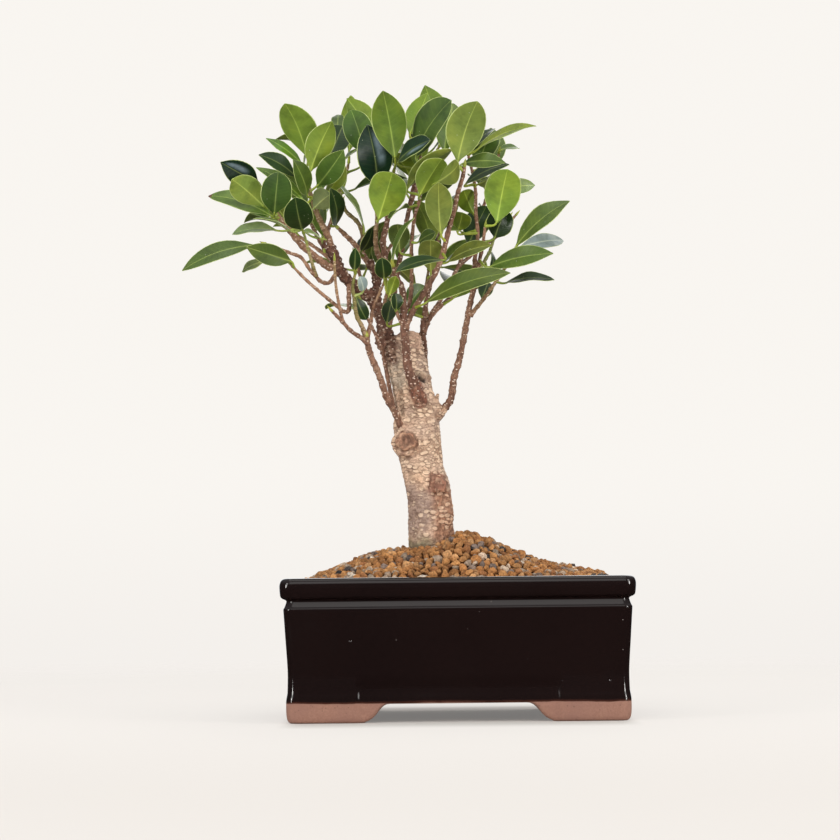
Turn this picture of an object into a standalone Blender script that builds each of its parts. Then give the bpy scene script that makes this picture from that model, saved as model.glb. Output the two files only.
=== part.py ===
"""A small ficus bonsai in a glazed rectangular pot with clay feet.

The pot stands on four corner feet and is filled with baked clay granules, which mound up
round the trunk. Limbs leave the trunk and carry twigs, leaf stalks and leaf blades, and
each limb is one body with all that grows on it.
"""
import math
import random

import bmesh
import bpy
from mathutils import Matrix, Vector
from mathutils.bvhtree import BVHTree

MM = 0.001
CLEARANCE = 0.3 * MM
SEED = 7

# The whole stands with its bounding box centred on the origin, so the pot is right of it.
POT_CENTRE = Vector((28.0, 0.0, 0.0)) * MM

# The pot, in metres
POT_HEIGHT = 0.081
RIM_HALF = (0.100, 0.0775)
FEET_HEIGHT = 0.0105
FLOOR_TOP = 0.0175
CORNER_STEPS = 3
# The apron over each gap lies a little back, between half lengths on the front and on the side
APRON_DEPTH = 0.0012
APRON_TOP = 0.022
APRON_HALF = (0.0560, 0.0435)
APRON_RAMP = 0.003
FOOT_INSET = 0.0034
FOOT_WALL = 0.014
INNER_WALL_INSET = 0.0102
DRAIN_RADIUS = 0.008
DRAIN_SPACING = 0.045
DRAIN_SIDES = 12
DRAIN_SPARE = 0.004

# Height, inset from the rim's outline, corner radius and share of the apron's depth, from a
# foot's sole up over the rim and down the inner wall, in metres
POT_PROFILE = (
    (0.0000, 0.0062, 0.0035, 0.0),
    (0.0018, 0.0044, 0.0045, 0.0),
    (0.0050, 0.0035, 0.0050, 0.0),
    (FEET_HEIGHT, FOOT_INSET, 0.0052, 0.5),
    (0.0150, 0.0036, 0.0052, 1.0),
    (APRON_TOP, 0.0042, 0.0052, 1.0),
    (0.0275, 0.0043, 0.0052, 0.0),
    (0.0640, 0.0021, 0.0052, 0.0),
    (0.0668, 0.0030, 0.0050, 0.0),
    (0.0700, 0.0009, 0.0060, 0.0),
    (0.0760, 0.0000, 0.0070, 0.0),
    (0.0800, 0.0008, 0.0066, 0.0),
    (POT_HEIGHT, 0.0026, 0.0055, 0.0),
    (POT_HEIGHT, 0.0086, 0.0040, 0.0),
    (0.0800, 0.0098, 0.0040, 0.0),
    (0.0650, INNER_WALL_INSET, 0.0045, 0.0),
    (FLOOR_TOP, 0.0112, 0.0060, 0.0),
)

# Half the gap between the two front feet at each height, and by how much less the side feet
# stand apart, in metres
GAP_HALF = (
    (-0.002, 0.0525),
    (0.0006, 0.0520),
    (0.0016, 0.0500),
    (0.0046, 0.0462),
    (0.0078, 0.0440),
    (0.0095, 0.0424),
    (FEET_HEIGHT, 0.0400),
)
SIDE_GAP_LESS = 0.0125

# Drain screens
SCREEN_SIDE = 0.026
SCREEN_THICKNESS = 0.0012
SCREEN_BARS = 4
SCREEN_BAR = 0.0014

# The soil: height of the mound along the pot, above the rim, in millimetres
MOUND_RIDGE = (
    (-90, -2.5), (-76, 3.0), (-64, 8.0), (-54, 12.5), (-40, 16.0), (-28, 17.0), (-10, 21.5),
    (1, 26.0), (11, 24.8), (23, 20.0), (35, 14.3), (45, 10.0), (57, 6.8), (71, 4.5), (83, 1.5), (90, -2.0),
)
SOIL_EDGE_DROP = 2.5
SOIL_FALL_POWER = 1.7
SOIL_BLOCK_SPARE = 0.002
SOIL_BLOCK_BOTTOM = 0.010
ABOVE_SOIL = 0.140
# The granules on top: crown to crown, the crowns' rise and the gaps' fall, each as a range, and
# how far a point strays, in metres
GRAIN_PITCH = 0.0115
GRAIN_RISE = (0.0014, 0.0034)
GRAIN_FALL = (0.0014, 0.0026)
GRAIN_STRAY = 0.0009

# The trunk from its root end to its top: height, centre across and in depth, radii across
# and in depth, in millimetres from the pot's centre
TRUNK_RINGS = (
    (46, -12, 2, 3.0, 3.0),
    (54, -12, 1, 9.0, 8.5),
    (68, -12.5, 0, 14.5, 14.0),
    (84, -13, 0, 16.6, 16.0),
    (93, -13, 0, 14.8, 14.5),
    (100, -13.2, 0, 13.6, 13.4),
    (109, -14, 0, 13.4, 13.0),
    (123, -15, 0, 12.9, 12.8),
    (138, -17, 0, 12.8, 12.6),
    (146, -19.2, 0, 12.6, 12.4),
    (158, -20.7, 0, 13.0, 12.6),
    (168, -21.8, 0, 13.3, 12.6),
    (182, -22.4, 0, 12.6, 12.2),
    (190, -24, 0, 11.8, 11.8),
    (201, -26, 0, 11.8, 11.6),
    (210, -28, 0, 11.6, 11.4),
    (217, -29.5, 0, 12.0, 10.6),
    (222, -28.5, 0.5, 9.5, 8.5),
    (225, -26.0, 0.5, 5.5, 5.5),
)
TRUNK_SIDES = 14
TRUNK_RIPPLE = 0.35

# Swellings of the trunk: centre and radii, in millimetres
BURLS = (
    ((-28.5, -7.5, 159.0), (8.3, 7.0, 9.0)),
    ((-9.8, -8.0, 134.0), (6.2, 6.2, 7.6)),
    ((-7.5, -6.5, 117.0), (6.2, 7.0, 17.0)),
    ((-21.3, -9.0, 194.3), (6.0, 5.5, 9.0)),
    ((-11.5, -2.0, 179.0), (5.0, 6.5, 7.5)),
    ((-31.0, -7.0, 170.0), (5.0, 5.5, 7.0)),
    ((-41.5, 1.0, 219.5), (4.5, 5.0, 5.5)),
)

# Routes of the thick dark wood that stays with the trunk: x, y, z in millimetres from the
# pot's centre, then the first and last radius
LEADER_FOOT = ((-33, 1, 204), (-37, 2, 214), (-39.5, 2.5, 223), (-41.5, 3, 231), (-44, 4, 239))
LEADER_FOOT_RADII = (6.8, 3.1)
LEADER_ROUTE = ((-44, 4, 238), (-45, 5, 246), (-45, 6.5, 254), (-46, 8, 262), (-49, 9, 269))
LEADER_RADII = (3.1, 2.2)
DARK_ROUTE = (
    (-45, 5, 240), (-49, 2, 246), (-54, 0, 250), (-58, -3, 253.5), (-62, -5, 256),
    (-66, -8, 261), (-69, -9, 268), (-71.5, -8, 275),
)
DARK_RADII = (3.2, 3.4)

# Limbs of each branch: points in millimetres from the pot's centre, with the radius at the
# first and last. A twig starts on the limb that bears it.
BRANCHES = {
    "branch_right": {
        "main": (((-12, 0, 175), (-8, -1, 178), (-2, -2, 185), (0, -4, 197), (3, -6, 207), (6, -8, 220),
                  (9, -10, 236), (12, -12, 249), (14.5, -14, 260)), 2.2, 1.5),
        "fork": (((10, -10, 234), (15, -14, 239.5), (21, -19, 247), (29, -26, 258), (34, -30, 266),
                  (37, -33, 272)), 1.3, 0.8),
        "stem_a": (((13, -13, 254), (13, -11, 266), (15, -8, 281), (14, -7, 295), (14, -6, 308),
                    (12, -8, 320), (10, -7, 329)), 1.3, 0.8),
        "stem_b": (((13.5, -13, 257), (17, -22, 271), (18, -26, 277), (19, -30, 284)), 1.2, 0.8),
        "stem_c": (((13.5, -13, 257), (21, -6, 270), (23, 0, 275), (26, 5, 283), (34, 8, 294)), 1.0, 0.8),
    },
    "branch_front": {
        "main": (((-20, -8, 184), (-22, -14, 190), (-25, -17.5, 197), (-27, -19, 204), (-28, -19.5, 216),
                  (-29, -21, 228), (-29, -23, 239), (-30, -26, 249), (-34, -30, 256), (-35, -33, 261)),
                  3.0, 1.4),
        "right": (((-28.5, -20.5, 225), (-25, -21, 233), (-19, -22, 243), (-11, -24, 256),
                   (-6, -26, 268), (-2, -30, 283), (1, -34, 293), (3, -38, 302), (6, -42, 311),
                   (7, -44, 317)), 1.8, 1.1),
        "left": (((-29, -21, 227), (-32, -24, 232), (-34, -28, 238), (-38, -32, 245)), 1.0, 0.8),
        "inner": (((-29, -22, 234), (-25, -17, 243), (-24, -15, 261), (-24, -16, 275), (-22, -21, 291),
                   (-19, -25, 301), (-19, -24, 316), (-18, -22, 327)), 1.3, 0.8),
    },
    "branch_left": {
        "main": (((-28, -5, 163), (-31, -10, 168), (-34.5, -13, 177), (-39, -16, 185), (-42, -18, 194),
                  (-45, -20, 202), (-48, -22, 209), (-49.5, -24, 214), (-51, -26, 221)), 2.0, 1.7),
        "inner": (((-50.5, -25, 218), (-53, -28, 226), (-56, -31, 232), (-57, -34, 239), (-58, -37, 248),
                   (-56, -41, 258)), 1.4, 0.8),
        "bare": (((-50.5, -25, 219), (-48, -22, 230), (-47, -20, 237), (-43, -22, 246), (-39, -24, 255)),
                  1.2, 0.7),
        "low": (((-50, -25, 217), (-54, -28, 220), (-59, -33, 223), (-64, -38, 228), (-67, -42, 231),
                 (-70, -45, 234)), 1.4, 0.9),
        "rise": (((-64, -38, 228), (-65, -40, 233), (-67, -43, 244), (-68, -47, 255), (-68, -50, 263)),
                  1.0, 0.7),
    },
    "branch_thin": {
        "main": (((-31, -4, 174), (-34.6, -5, 179), (-36.4, -6, 184), (-38.2, -6.5, 194.5), (-40.2, -7, 205),
                  (-42, -8.5, 215), (-45.5, -11, 223), (-50, -14, 232), (-54, -13, 243)), 1.4, 0.8),
    },
    "branch_long_left": {
        "main": (((-61, -5, 255), (-61, -12, 244), (-61, -16, 237), (-64, -20, 236), (-68, -24, 239),
                  (-78, -30, 247), (-86, -35, 254), (-94, -40, 262)), 1.4, 0.8),
    },
    "branch_far_left": {
        "main": (((-67, -8, 262), (-72, -13, 254), (-77, -16, 254), (-80, -18, 257), (-83, -21, 260),
                  (-88, -25, 267), (-93, -28, 269), (-102, -33, 272), (-108, -36, 274)), 1.3, 0.8),
        "rise": (((-80, -18, 257), (-83, -24, 268), (-85, -28, 276), (-87, -32, 283)), 1.0, 0.7),
    },
    "branch_upper_left": {
        "main": (((-67, -8, 265), (-72, -11, 263), (-78, -14, 267), (-83, -17, 271), (-89, -20, 276),
                  (-96, -24, 285), (-105, -28, 296), (-110, -33, 305)), 2.4, 1.3),
    },
    "branch_left_top": {
        "main": (((-70.5, -7, 272), (-72, -6, 278), (-74, -4, 284), (-77, -2, 290), (-80, -3, 297),
                  (-82, -6, 303), (-84, -10, 310), (-86, -15, 317)), 2.2, 1.0),
        "twig": (((-73, -5, 281), (-73, -1, 287), (-69, 2, 295), (-65, 5, 304)), 1.0, 0.7),
    },
    "branch_top": {
        "main": (((-47, 8.5, 264), (-52, 12, 271), (-57, 14, 278), (-61, 16, 283), (-68, 18, 290)),
                  2.0, 1.2),
        "rise": (((-54, 13, 274), (-53, 15, 284), (-56, 18, 293), (-64, 22, 302), (-68, 23, 318),
                  (-69, 24, 330), (-69, 28, 342)), 1.5, 0.8),
    },
    "branch_centre": {
        "main": (((-45, 7, 257), (-42, 8, 265), (-40, 8, 271), (-41, 6, 280), (-39, 4, 288),
                  (-37, 1, 300), (-35.5, -4, 311), (-34, -12, 319)), 2.3, 1.0),
        "left": (((-41, 8, 268), (-44, 0, 272), (-45, -6, 277), (-45, -10, 284), (-44, -14, 291),
                  (-45, -15, 301)), 1.6, 1.0),
        "side": (((-40.5, 8, 270), (-37, 11, 277), (-31, 13, 285)), 1.2, 0.8),
        "lean": (((-38, 3, 294), (-42, 4, 309), (-46, 7, 326), (-47, 11, 339)), 1.2, 0.8),
    },
    "branch_behind_right": {
        "main": (((-18, 9, 203), (-17, 14, 210), (-17, 17, 220), (-18, 19, 229), (-16, 23, 243),
                  (-12, 32, 262), (-9, 44, 280), (-6, 54, 296)), 1.8, 1.0),
        "fork": (((-17.5, 18, 226), (-14, 21, 235), (-11, 24, 241), (-7, 27, 247), (4, 34, 268),
                  (12, 39, 288), (21, 36, 308), (27, 28, 326), (29, 23, 335)), 1.4, 0.8),
        "reach": (((4, 34, 268), (16, 46, 279), (30, 55, 290), (40, 58, 302)), 1.1, 0.8),
    },
    "branch_back": {
        "main": (((-36, 6, 216), (-38, 13, 224), (-37, 22, 238), (-33, 29, 262), (-28, 32, 290),
                  (-22, 31, 318), (-17, 30, 334), (-14, 32, 346)), 2.0, 0.9),
        "fork": (((-24, 31.5, 308), (-15, 24, 324), (-7, 17, 338)), 1.1, 0.8),
        "reach": (((-30, 31, 278), (-26, 44, 300), (-22, 54, 318), (-20, 56, 334)), 1.2, 0.8),
    },
    "branch_back_left": {
        "main": (((-56, -1, 251), (-62, 8, 256), (-68, 20, 265), (-76, 33, 278), (-84, 44, 294),
                  (-88, 50, 308)), 1.8, 0.9),
        "fork": (((-73, 29, 273), (-88, 30, 284), (-103, 30, 294)), 1.2, 0.8),
        "rise": (((-78, 36, 282), (-72, 46, 300), (-66, 52, 318), (-62, 50, 334)), 1.2, 0.8),
    },
    "branch_back_low": {
        "main": (((-30, 7, 208), (-35, 14, 215), (-42, 24, 229), (-49, 33, 245), (-55, 40, 262),
                  (-59, 46, 278)), 1.8, 0.9),
        "fork": (((-44, 27, 234), (-40, 38, 250), (-36, 47, 268)), 1.2, 0.8),
    },
    "branch_back_right": {
        "main": (((-25, 8, 203), (-23, 14, 211), (-19, 26, 226), (-11, 36, 240), (4, 44, 254),
                  (20, 48, 264)), 1.8, 0.9),
        "fork": (((-15, 31, 233), (-16, 44, 252), (-14, 52, 268)), 1.2, 0.8),
    },
}

# Leaves read by eye for each branch: base and tip in millimetres from the pot's centre, the
# blade's width, and how far it is turned from showing its upper face to the front, in degrees
LEAVES = {
    "branch_left_top": (
        ((-84.5, -12, 328), (-96.5, -34, 356), 22, 150),
        ((-82.5, -20, 318.5), (-69.5, -30, 346), 17, 200),
        ((-87.5, -13, 323.5), (-109, -8, 340), 7, 30),
        ((-91, -20, 315), (-112, -32, 326.5), 12.5, 35),
        ((-86.5, -18, 301), (-114.5, -16, 321.5), 9.5, 38),
        ((-85, -14, 305), (-92, -24, 323), 14, 20),
        ((-81.5, -8, 298), (-70.5, -20, 305), 14, 200),
        ((-79, -12, 311), (-63, -20, 330), 15, 15),
        ((-79, 0, 307), (-64, 6, 328), 15, -60),
        ((-75, -2, 306.5), (-64.5, 8, 329.5), 11, 150),
        ((-69, 0, 288.5), (-71, -6, 307.5), 13, 45),
        ((-77, -8, 280), (-87, -14, 284), 8, 70),
    ),
    "branch_upper_left": (
        ((-112.5, -36, 310.5), (-132.5, -54, 319), 14.5, -12),
        ((-109, -34, 296), (-126, -50, 309), 17, 165),
        ((-105, -30, 291), (-142, -33, 304), 17, 62),
        ((-107, -21, 291), (-121, -14, 302), 13, 30),
        ((-103, -38, 291), (-100, -48, 314), 18, 10),
    ),
    "branch_far_left": (
        ((-87, -36, 282), (-90, -56, 298), 17, 0),
        ((-114, -38, 273), (-156, -40, 258.5), 14, 36),
        ((-109, -26, 265), (-123, -18, 260), 8, 40),
        ((-102, -26, 283), (-128, -26, 281), 16, 60),
        ((-93, -36, 281), (-115, -40, 288), 14, 60),
    ),
    "branch_long_left": (
        ((-93, -42, 263), (-118, -54, 270), 12.5, -12),
    ),
    "branch_top": (
        ((-52.5, 14, 290.5), (-74, 26, 320.5), 12, 72),
        ((-73, 20, 333), (-65, 28, 353), 16, 0),
        ((-68.5, 27, 347.5), (-68, 36, 363), 8, 0),
        ((-54, 4, 274), (-47, -6, 287), 12, 50),
    ),
    "branch_centre": (
        ((-46, 14, 344), (-62, 24, 369), 16, 160),
        ((-51, 0, 331), (-59, 2, 358), 17.5, 0),
        ((-43.5, -14, 309.5), (-49, -26, 344.5), 21.5, 10),
        ((-33, -26, 324.5), (-39.5, -44, 361), 20.5, 180),
        ((-43, -24, 289), (-34.5, -46, 313), 22, 180),
    ),
    "branch_back": (
        ((-24.5, 24, 347), (-13.5, 34, 373.5), 16, 180),
        ((-6, 30, 350), (-15, 38, 379), 18, 180),
        ((-4, 10, 333.5), (-1, 16, 357.5), 14, 10),
        ((-0.5, 20, 351), (2, 28, 366), 10, 0),
    ),
    "branch_front": (
        ((-21, -20, 326), (0, -34, 356), 27, -47),
        ((-31.5, -30.5, 321.5), (-12.5, -44, 332), 16, -48),
        ((3, -46, 319), (14.5, -60, 351.5), 22.5, 195),
        ((6.5, -30, 320.5), (30.5, -44, 318.5), 10, -20),
        ((-19, -34, 301.5), (-6, -48, 320.5), 17, -150),
        ((-26.5, -28, 306), (0.5, -26, 326.5), 16, -120),
        ((-8.5, -38, 308.5), (3.5, -52, 315.5), 13, 160),
        ((-7, -34, 279), (-8, -54, 306), 16, 180),
        ((-16, -30, 239.5), (32.5, -46, 254.5), 17.5, -42),
        ((-3, -22, 264), (22.5, -34, 272), 13, -45),
        ((-6, -40, 263), (-33, -52, 255), 14, 55),
        ((-13, -16, 259), (-13, -30, 276), 14.5, 180),
        ((-25, -29, 295.5), (-36, -38, 287), 12, 80),
        ((-31, -16, 271), (-32, -26, 286), 13, 170),
        ((-35, -34, 263), (-22, -38, 288), 14, -75),
        ((-20, -20, 276), (-10, -30, 281), 8, -30),
        ((-40, -36, 253), (-41, -46, 264), 10, 0),
        ((-37, -34, 243.5), (-33, -44, 253.5), 7, 180),
        ((-39, -14, 229), (-36, -10, 243), 9, 0),
        ((-33.5, -31, 235), (-34, -23, 245), 9, 20),
    ),
    "branch_right": (
        ((15, -10, 331.5), (50, -12, 345), 14, -60),
        ((13, 0, 333.5), (26.5, 8, 347), 12, -55),
        ((16.5, 0, 323.5), (24.5, 2, 344.5), 17, 0),
        ((7.5, -16, 310), (33.5, -24, 320.5), 14, -52),
        ((15, -10, 311), (26, -30, 317), 10, 130),
        ((25.5, -36, 285), (31.5, -52, 313.5), 21, 180),
        ((29, 13, 312), (50, 16, 314), 9.5, 0),
        ((24.5, -24, 277.5), (31.5, -40, 293), 16, -10),
        ((9.5, 4, 276.5), (21, 10, 301), 17, -20),
        ((3, -2, 284), (6, -14, 294), 12, 180),
        ((13, 2, 295), (7, -8, 308), 12, 180),
        ((36.5, -36, 271), (67.5, -40, 296.5), 20, -50),
        ((38.5, -28, 271.5), (65.5, -4, 278), 10.5, -25),
        ((21.5, -30, 260), (57, -40, 265), 14, -48),
        ((30, -24, 251), (58.5, -30, 252), 12, -58),
        ((6, -12, 282), (-1, -26, 282), 8, 60),
        ((17, -10, 243), (21, -2, 254), 9, 0),
        ((22, 2, 261), (24, 10, 273), 9, 60),
    ),
    "branch_behind_right": (
        ((-26, 12, 241), (-16, 6, 253), 14, -30),
        ((30, 20, 336), (41, 26, 338), 10, -60),
    ),
    "branch_left": (
        ((-57, -44, 257), (-56, -54, 269), 7, 0),
        ((-52, -34, 246), (-54, -40, 254), 7, 30),
    ),
    "branch_thin": (
        ((-56.5, -20, 244), (-50.5, -20, 231), 9, 20),
    ),
}

# Shoots that bear leaves in a spiral: limb, number of leaf places, first angle in degrees, and
# the places, counted from the tip, whose leaf has fallen
SPRAYS = (
    ("branch_behind_right", "main", 6, 40, (3,)),
    ("branch_behind_right", "fork", 5, 200, (0, 2)),
    ("branch_behind_right", "reach", 6, 170, (0, 2, 4, 5)),
    ("branch_back", "main", 5, 170, (1,)),
    ("branch_back", "reach", 6, 10, ()),
    ("branch_back_left", "main", 6, 300, ()),
    ("branch_back_left", "fork", 6, 290, (1, 3, 4)),
    ("branch_back_left", "rise", 6, 330, ()),
    ("branch_back_low", "main", 6, 220, (5,)),
    ("branch_back_low", "fork", 6, 50, (4,)),
    ("branch_back_right", "main", 6, 30, (1, 2, 3)),
    ("branch_back_right", "fork", 6, 140, (4,)),
    ("branch_top", "rise", 3, 40, (0,)),
    ("branch_thin", "main", 3, 250, (0,)),
)
SPIRAL_TURN = math.radians(137.5)
SPRAY_STEP = 6.5
SPRAY_LENGTHS = (25, 36)
SPRAY_WIDTH_SHARE = (0.46, 0.56)
SPRAY_PITCH = (35, 70)
SPRAY_STALK = (6, 10)
DEEPEST_LEAF = 76.0
HIGHEST_LEAF = 377.0

# A leaf blade: stations from base to tip, with the share of the width there
BLADE_STATIONS = ((0.0, 0.09), (0.20, 0.72), (0.51, 1.0), (0.82, 0.75))
BLADE_THICKNESS = 0.7
BLADE_FOLD = 0.16
BLADE_ARCH = 0.09
STALK_RADIUS = 0.65
# Up to this radius, in millimetres, a twig has four sides, and over it six
SLIM_TWIG = 1.45
CLEAR_THICKNESS = 2.2
CLEAR_WIDTH = 1.06
# How a leaf is swung clear of what is there already: tip moved in depth, in millimetres, and
# turned, in degrees
SWINGS = (
    (0, 0), (-5, 0), (5, 0), (-10, 0), (10, 0), (0, 20), (0, -20), (-10, 20), (10, -20), (-15, 0), (15, 0),
    (-20, 0), (20, 0), (-15, 35), (15, -35), (-26, 0), (26, 0),
)
SPRAY_SWINGS = (0, 25, -25, 50, -50, 75)

# Colour, roughness and metallic value of each sub-part
LOOKS = {
    "glaze": ((0.011, 0.007, 0.007), 0.12),
    "granules": ((0.376, 0.156, 0.045), 0.95),
    "bark": ((0.376, 0.262, 0.191), 0.85),
    "foliage": ((0.091, 0.223, 0.024), 0.42),
    "screen": ((0.02, 0.02, 0.02), 0.5),
}


def clear_scene():
    for ob in list(bpy.data.objects):
        bpy.data.objects.remove(ob, do_unlink=True)


def new_collection(name):
    collection = bpy.data.collections.new(name)
    bpy.context.scene.collection.children.link(collection)
    return collection


def material(name):
    colour, roughness = LOOKS[name]
    made = bpy.data.materials.get(name)
    if made is None:
        made = bpy.data.materials.new(name)
        made.use_nodes = True
        shader = made.node_tree.nodes["Principled BSDF"]
        shader.inputs["Base Color"].default_value = (*colour, 1.0)
        shader.inputs["Roughness"].default_value = roughness
        shader.inputs["Metallic"].default_value = 0.0
    return made


def add_object(name, mesh, collection, look=None):
    ob = bpy.data.objects.new(name, mesh)
    collection.objects.link(ob)
    if look:
        mesh.materials.clear()
        mesh.materials.append(material(look))
    return ob


def mesh_from(bm, name):
    bmesh.ops.recalc_face_normals(bm, faces=bm.faces)
    mesh = bpy.data.meshes.new(name)
    bm.to_mesh(mesh)
    bm.free()
    return mesh


def loft(rings, name):
    """A closed solid through rings of equal counts of points, with flat ends."""
    bm = bmesh.new()
    loops = [[bm.verts.new(point) for point in ring] for ring in rings]
    for low, high in zip(loops, loops[1:]):
        for i in range(len(low)):
            j = (i + 1) % len(low)
            bm.faces.new((low[i], low[j], high[j], high[i]))
    bm.faces.new(list(reversed(loops[0])))
    bm.faces.new(loops[-1])
    return mesh_from(bm, name)


def cut(target, cutter):
    """Takes the cutter's shape out of the target for good."""
    modifier = target.modifiers.new("cut", "BOOLEAN")
    modifier.operation = "DIFFERENCE"
    modifier.object = cutter
    apply_modifiers(target)


def apply_modifiers(ob):
    depsgraph = bpy.context.evaluated_depsgraph_get()
    mesh = bpy.data.meshes.new_from_object(ob.evaluated_get(depsgraph))
    ob.modifiers.clear()
    ob.data = mesh


def as_cutter(ob):
    ob.hide_render = True
    ob.display_type = "WIRE"
    return ob


def smooth(mesh, angle=40):
    mesh.shade_smooth()
    mesh.set_sharp_from_angle(angle=math.radians(angle))


def rounded_outline(half_x, half_y, radius, z, recess=0.0):
    """A rounded rectangle whose sides lie back by the recess between the feet."""
    points = []
    for quarter in range(4):
        turn = quarter * math.pi / 2
        sign_x = 1 if quarter in (0, 3) else -1
        sign_y = 1 if quarter in (0, 1) else -1
        centre = Vector((sign_x * (half_x - radius), sign_y * (half_y - radius), z))
        corner = []
        for step in range(CORNER_STEPS + 1):
            angle = turn + step / CORNER_STEPS * math.pi / 2
            corner.append(centre + radius * Vector((math.cos(angle), math.sin(angle), 0)))
        side = [
            Vector((sign_x * half_x, sign_y * (APRON_HALF[1] + APRON_RAMP), z)),
            Vector((sign_x * (half_x - recess), sign_y * APRON_HALF[1], z)),
        ]
        front = [
            Vector((sign_x * (APRON_HALF[0] + APRON_RAMP), sign_y * half_y, z)),
            Vector((sign_x * APRON_HALF[0], sign_y * (half_y - recess), z)),
        ]
        before, after = (side, front) if quarter in (0, 2) else (front, side)
        points += list(reversed(before)) + corner + after
    return points


def pot_rings():
    rings = []
    for z, inset, radius, share in POT_PROFILE:
        half = (RIM_HALF[0] - inset, RIM_HALF[1] - inset)
        rings.append(rounded_outline(*half, radius, z, share * APRON_DEPTH))
    return rings


def gap_cutter(name, less, reach, along_x, collection):
    """The tunnel between two feet, whose sides curve in towards the top."""
    half = [(half_gap - less, z) for z, half_gap in GAP_HALF]
    outline = half + [(-w, z) for w, z in reversed(half)]
    rings = []
    for end in (-reach, reach):
        if along_x:
            rings.append([Vector((end, w, z)) for w, z in outline])
        else:
            rings.append([Vector((w, end, z)) for w, z in outline])
    return as_cutter(add_object(name, loft(rings, name), collection))


def round_cutter(name, radius, low, high, x, collection):
    bm = bmesh.new()
    bmesh.ops.create_cone(
        bm, cap_ends=True, segments=DRAIN_SIDES, radius1=radius, radius2=radius, depth=high - low
    )
    bmesh.ops.translate(bm, verts=bm.verts, vec=(x, 0, (low + high) / 2))
    return as_cutter(add_object(name, mesh_from(bm, name), collection))


def box_mesh(name, size, centre):
    bm = bmesh.new()
    bmesh.ops.create_cube(bm, size=1.0)
    bmesh.ops.scale(bm, verts=bm.verts, vec=size)
    bmesh.ops.translate(bm, verts=bm.verts, vec=centre)
    return mesh_from(bm, name)


def make_pot(parts, cutters):
    pot = add_object("pot", loft(pot_rings(), "pot"), parts, "glaze")
    foot_half = (RIM_HALF[0] - FOOT_INSET, RIM_HALF[1] - FOOT_INSET)
    through = 0.12
    tools = [
        gap_cutter("cut_gap_front", 0.0, through, False, cutters),
        gap_cutter("cut_gap_side", SIDE_GAP_LESS, through, True, cutters),
    ]
    hollow = (2 * (foot_half[0] - FOOT_WALL), 2 * (foot_half[1] - FOOT_WALL), FEET_HEIGHT + 0.002)
    hollow_mesh = box_mesh("cut_under", hollow, (0, 0, FEET_HEIGHT - hollow[2] / 2))
    tools.append(as_cutter(add_object("cut_under", hollow_mesh, cutters)))
    for side in (-1, 1):
        name = "cut_drain_left" if side < 0 else "cut_drain_right"
        low, high = FEET_HEIGHT - DRAIN_SPARE, FLOOR_TOP + DRAIN_SPARE
        tools.append(round_cutter(name, DRAIN_RADIUS, low, high, side * DRAIN_SPACING, cutters))
    for tool in tools:
        cut(pot, tool)
    smooth(pot.data, 30)
    return pot


def make_screen(name, x, parts):
    """A square plastic net that lies over a drain hole."""
    low = FLOOR_TOP + CLEARANCE
    pitch = (SCREEN_SIDE - SCREEN_BAR) / (SCREEN_BARS - 1)
    window = pitch - SCREEN_BAR
    mesh = box_mesh(name, (SCREEN_SIDE, SCREEN_SIDE, SCREEN_THICKNESS), (x, 0, low + SCREEN_THICKNESS / 2))
    screen = add_object(name, mesh, parts, "screen")
    bm = bmesh.new()
    for row in range(SCREEN_BARS - 1):
        for column in range(SCREEN_BARS - 1):
            made = bmesh.ops.create_cube(bm, size=1.0)["verts"]
            bmesh.ops.scale(bm, verts=made, vec=(window, window, SCREEN_THICKNESS * 3))
            place = [(index - (SCREEN_BARS - 2) / 2) * pitch for index in (column, row)]
            bmesh.ops.translate(bm, verts=made, vec=(x + place[0], place[1], low + SCREEN_THICKNESS / 2))
    windows = bpy.data.objects.new("windows", mesh_from(bm, "windows"))
    parts.objects.link(windows)
    cut(screen, windows)
    bpy.data.objects.remove(windows)
    return screen


def ridge_height(x):
    """The mound's height over the rim at x, between the points of its ridge."""
    for (x0, h0), (x1, h1) in zip(MOUND_RIDGE, MOUND_RIDGE[1:]):
        if x <= x1:
            share = min(max((x - x0) / (x1 - x0), 0.0), 1.0)
            return h0 + (h1 - h0) * share
    return MOUND_RIDGE[-1][1]


def soil_height(x, y):
    """The soil's smooth top, in metres, for a place in metres from the pot's centre."""
    ridge = ridge_height(x / MM)
    inner_y = RIM_HALF[1] - INNER_WALL_INSET
    fall = max(0.0, 1.0 - abs(y / inner_y) ** SOIL_FALL_POWER)
    height = -SOIL_EDGE_DROP + (ridge + SOIL_EDGE_DROP) * fall
    return POT_HEIGHT + height * MM


def grain_sheet(spread):
    """The soil's top as a sheet of even triangles, with every third point on a granule's crown."""
    side = GRAIN_PITCH / math.sqrt(3)
    row_step = GRAIN_PITCH / 2
    columns, rows = round(spread[0] / side) + 1, round(spread[1] / row_step)
    rng = random.Random(SEED)
    bm = bmesh.new()
    bmesh.ops.create_grid(bm, x_segments=columns, y_segments=rows, size=0.5)
    for vert in bm.verts:
        column, row = round((vert.co.x + 0.5) * columns), round((vert.co.y + 0.5) * rows)
        x = (column - columns / 2 + (row % 2) / 2) * side + rng.uniform(-GRAIN_STRAY, GRAIN_STRAY)
        y = (row - rows / 2) * row_step + rng.uniform(-GRAIN_STRAY, GRAIN_STRAY)
        is_crown = (column - row // 2 - row) % 3 == 0
        bump = rng.uniform(*GRAIN_RISE) if is_crown else -rng.uniform(*GRAIN_FALL)
        vert.co = (x, y, soil_height(x, y) + bump)
    bmesh.ops.triangulate(bm, faces=bm.faces, quad_method="SHORT_EDGE")
    return bm


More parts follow.
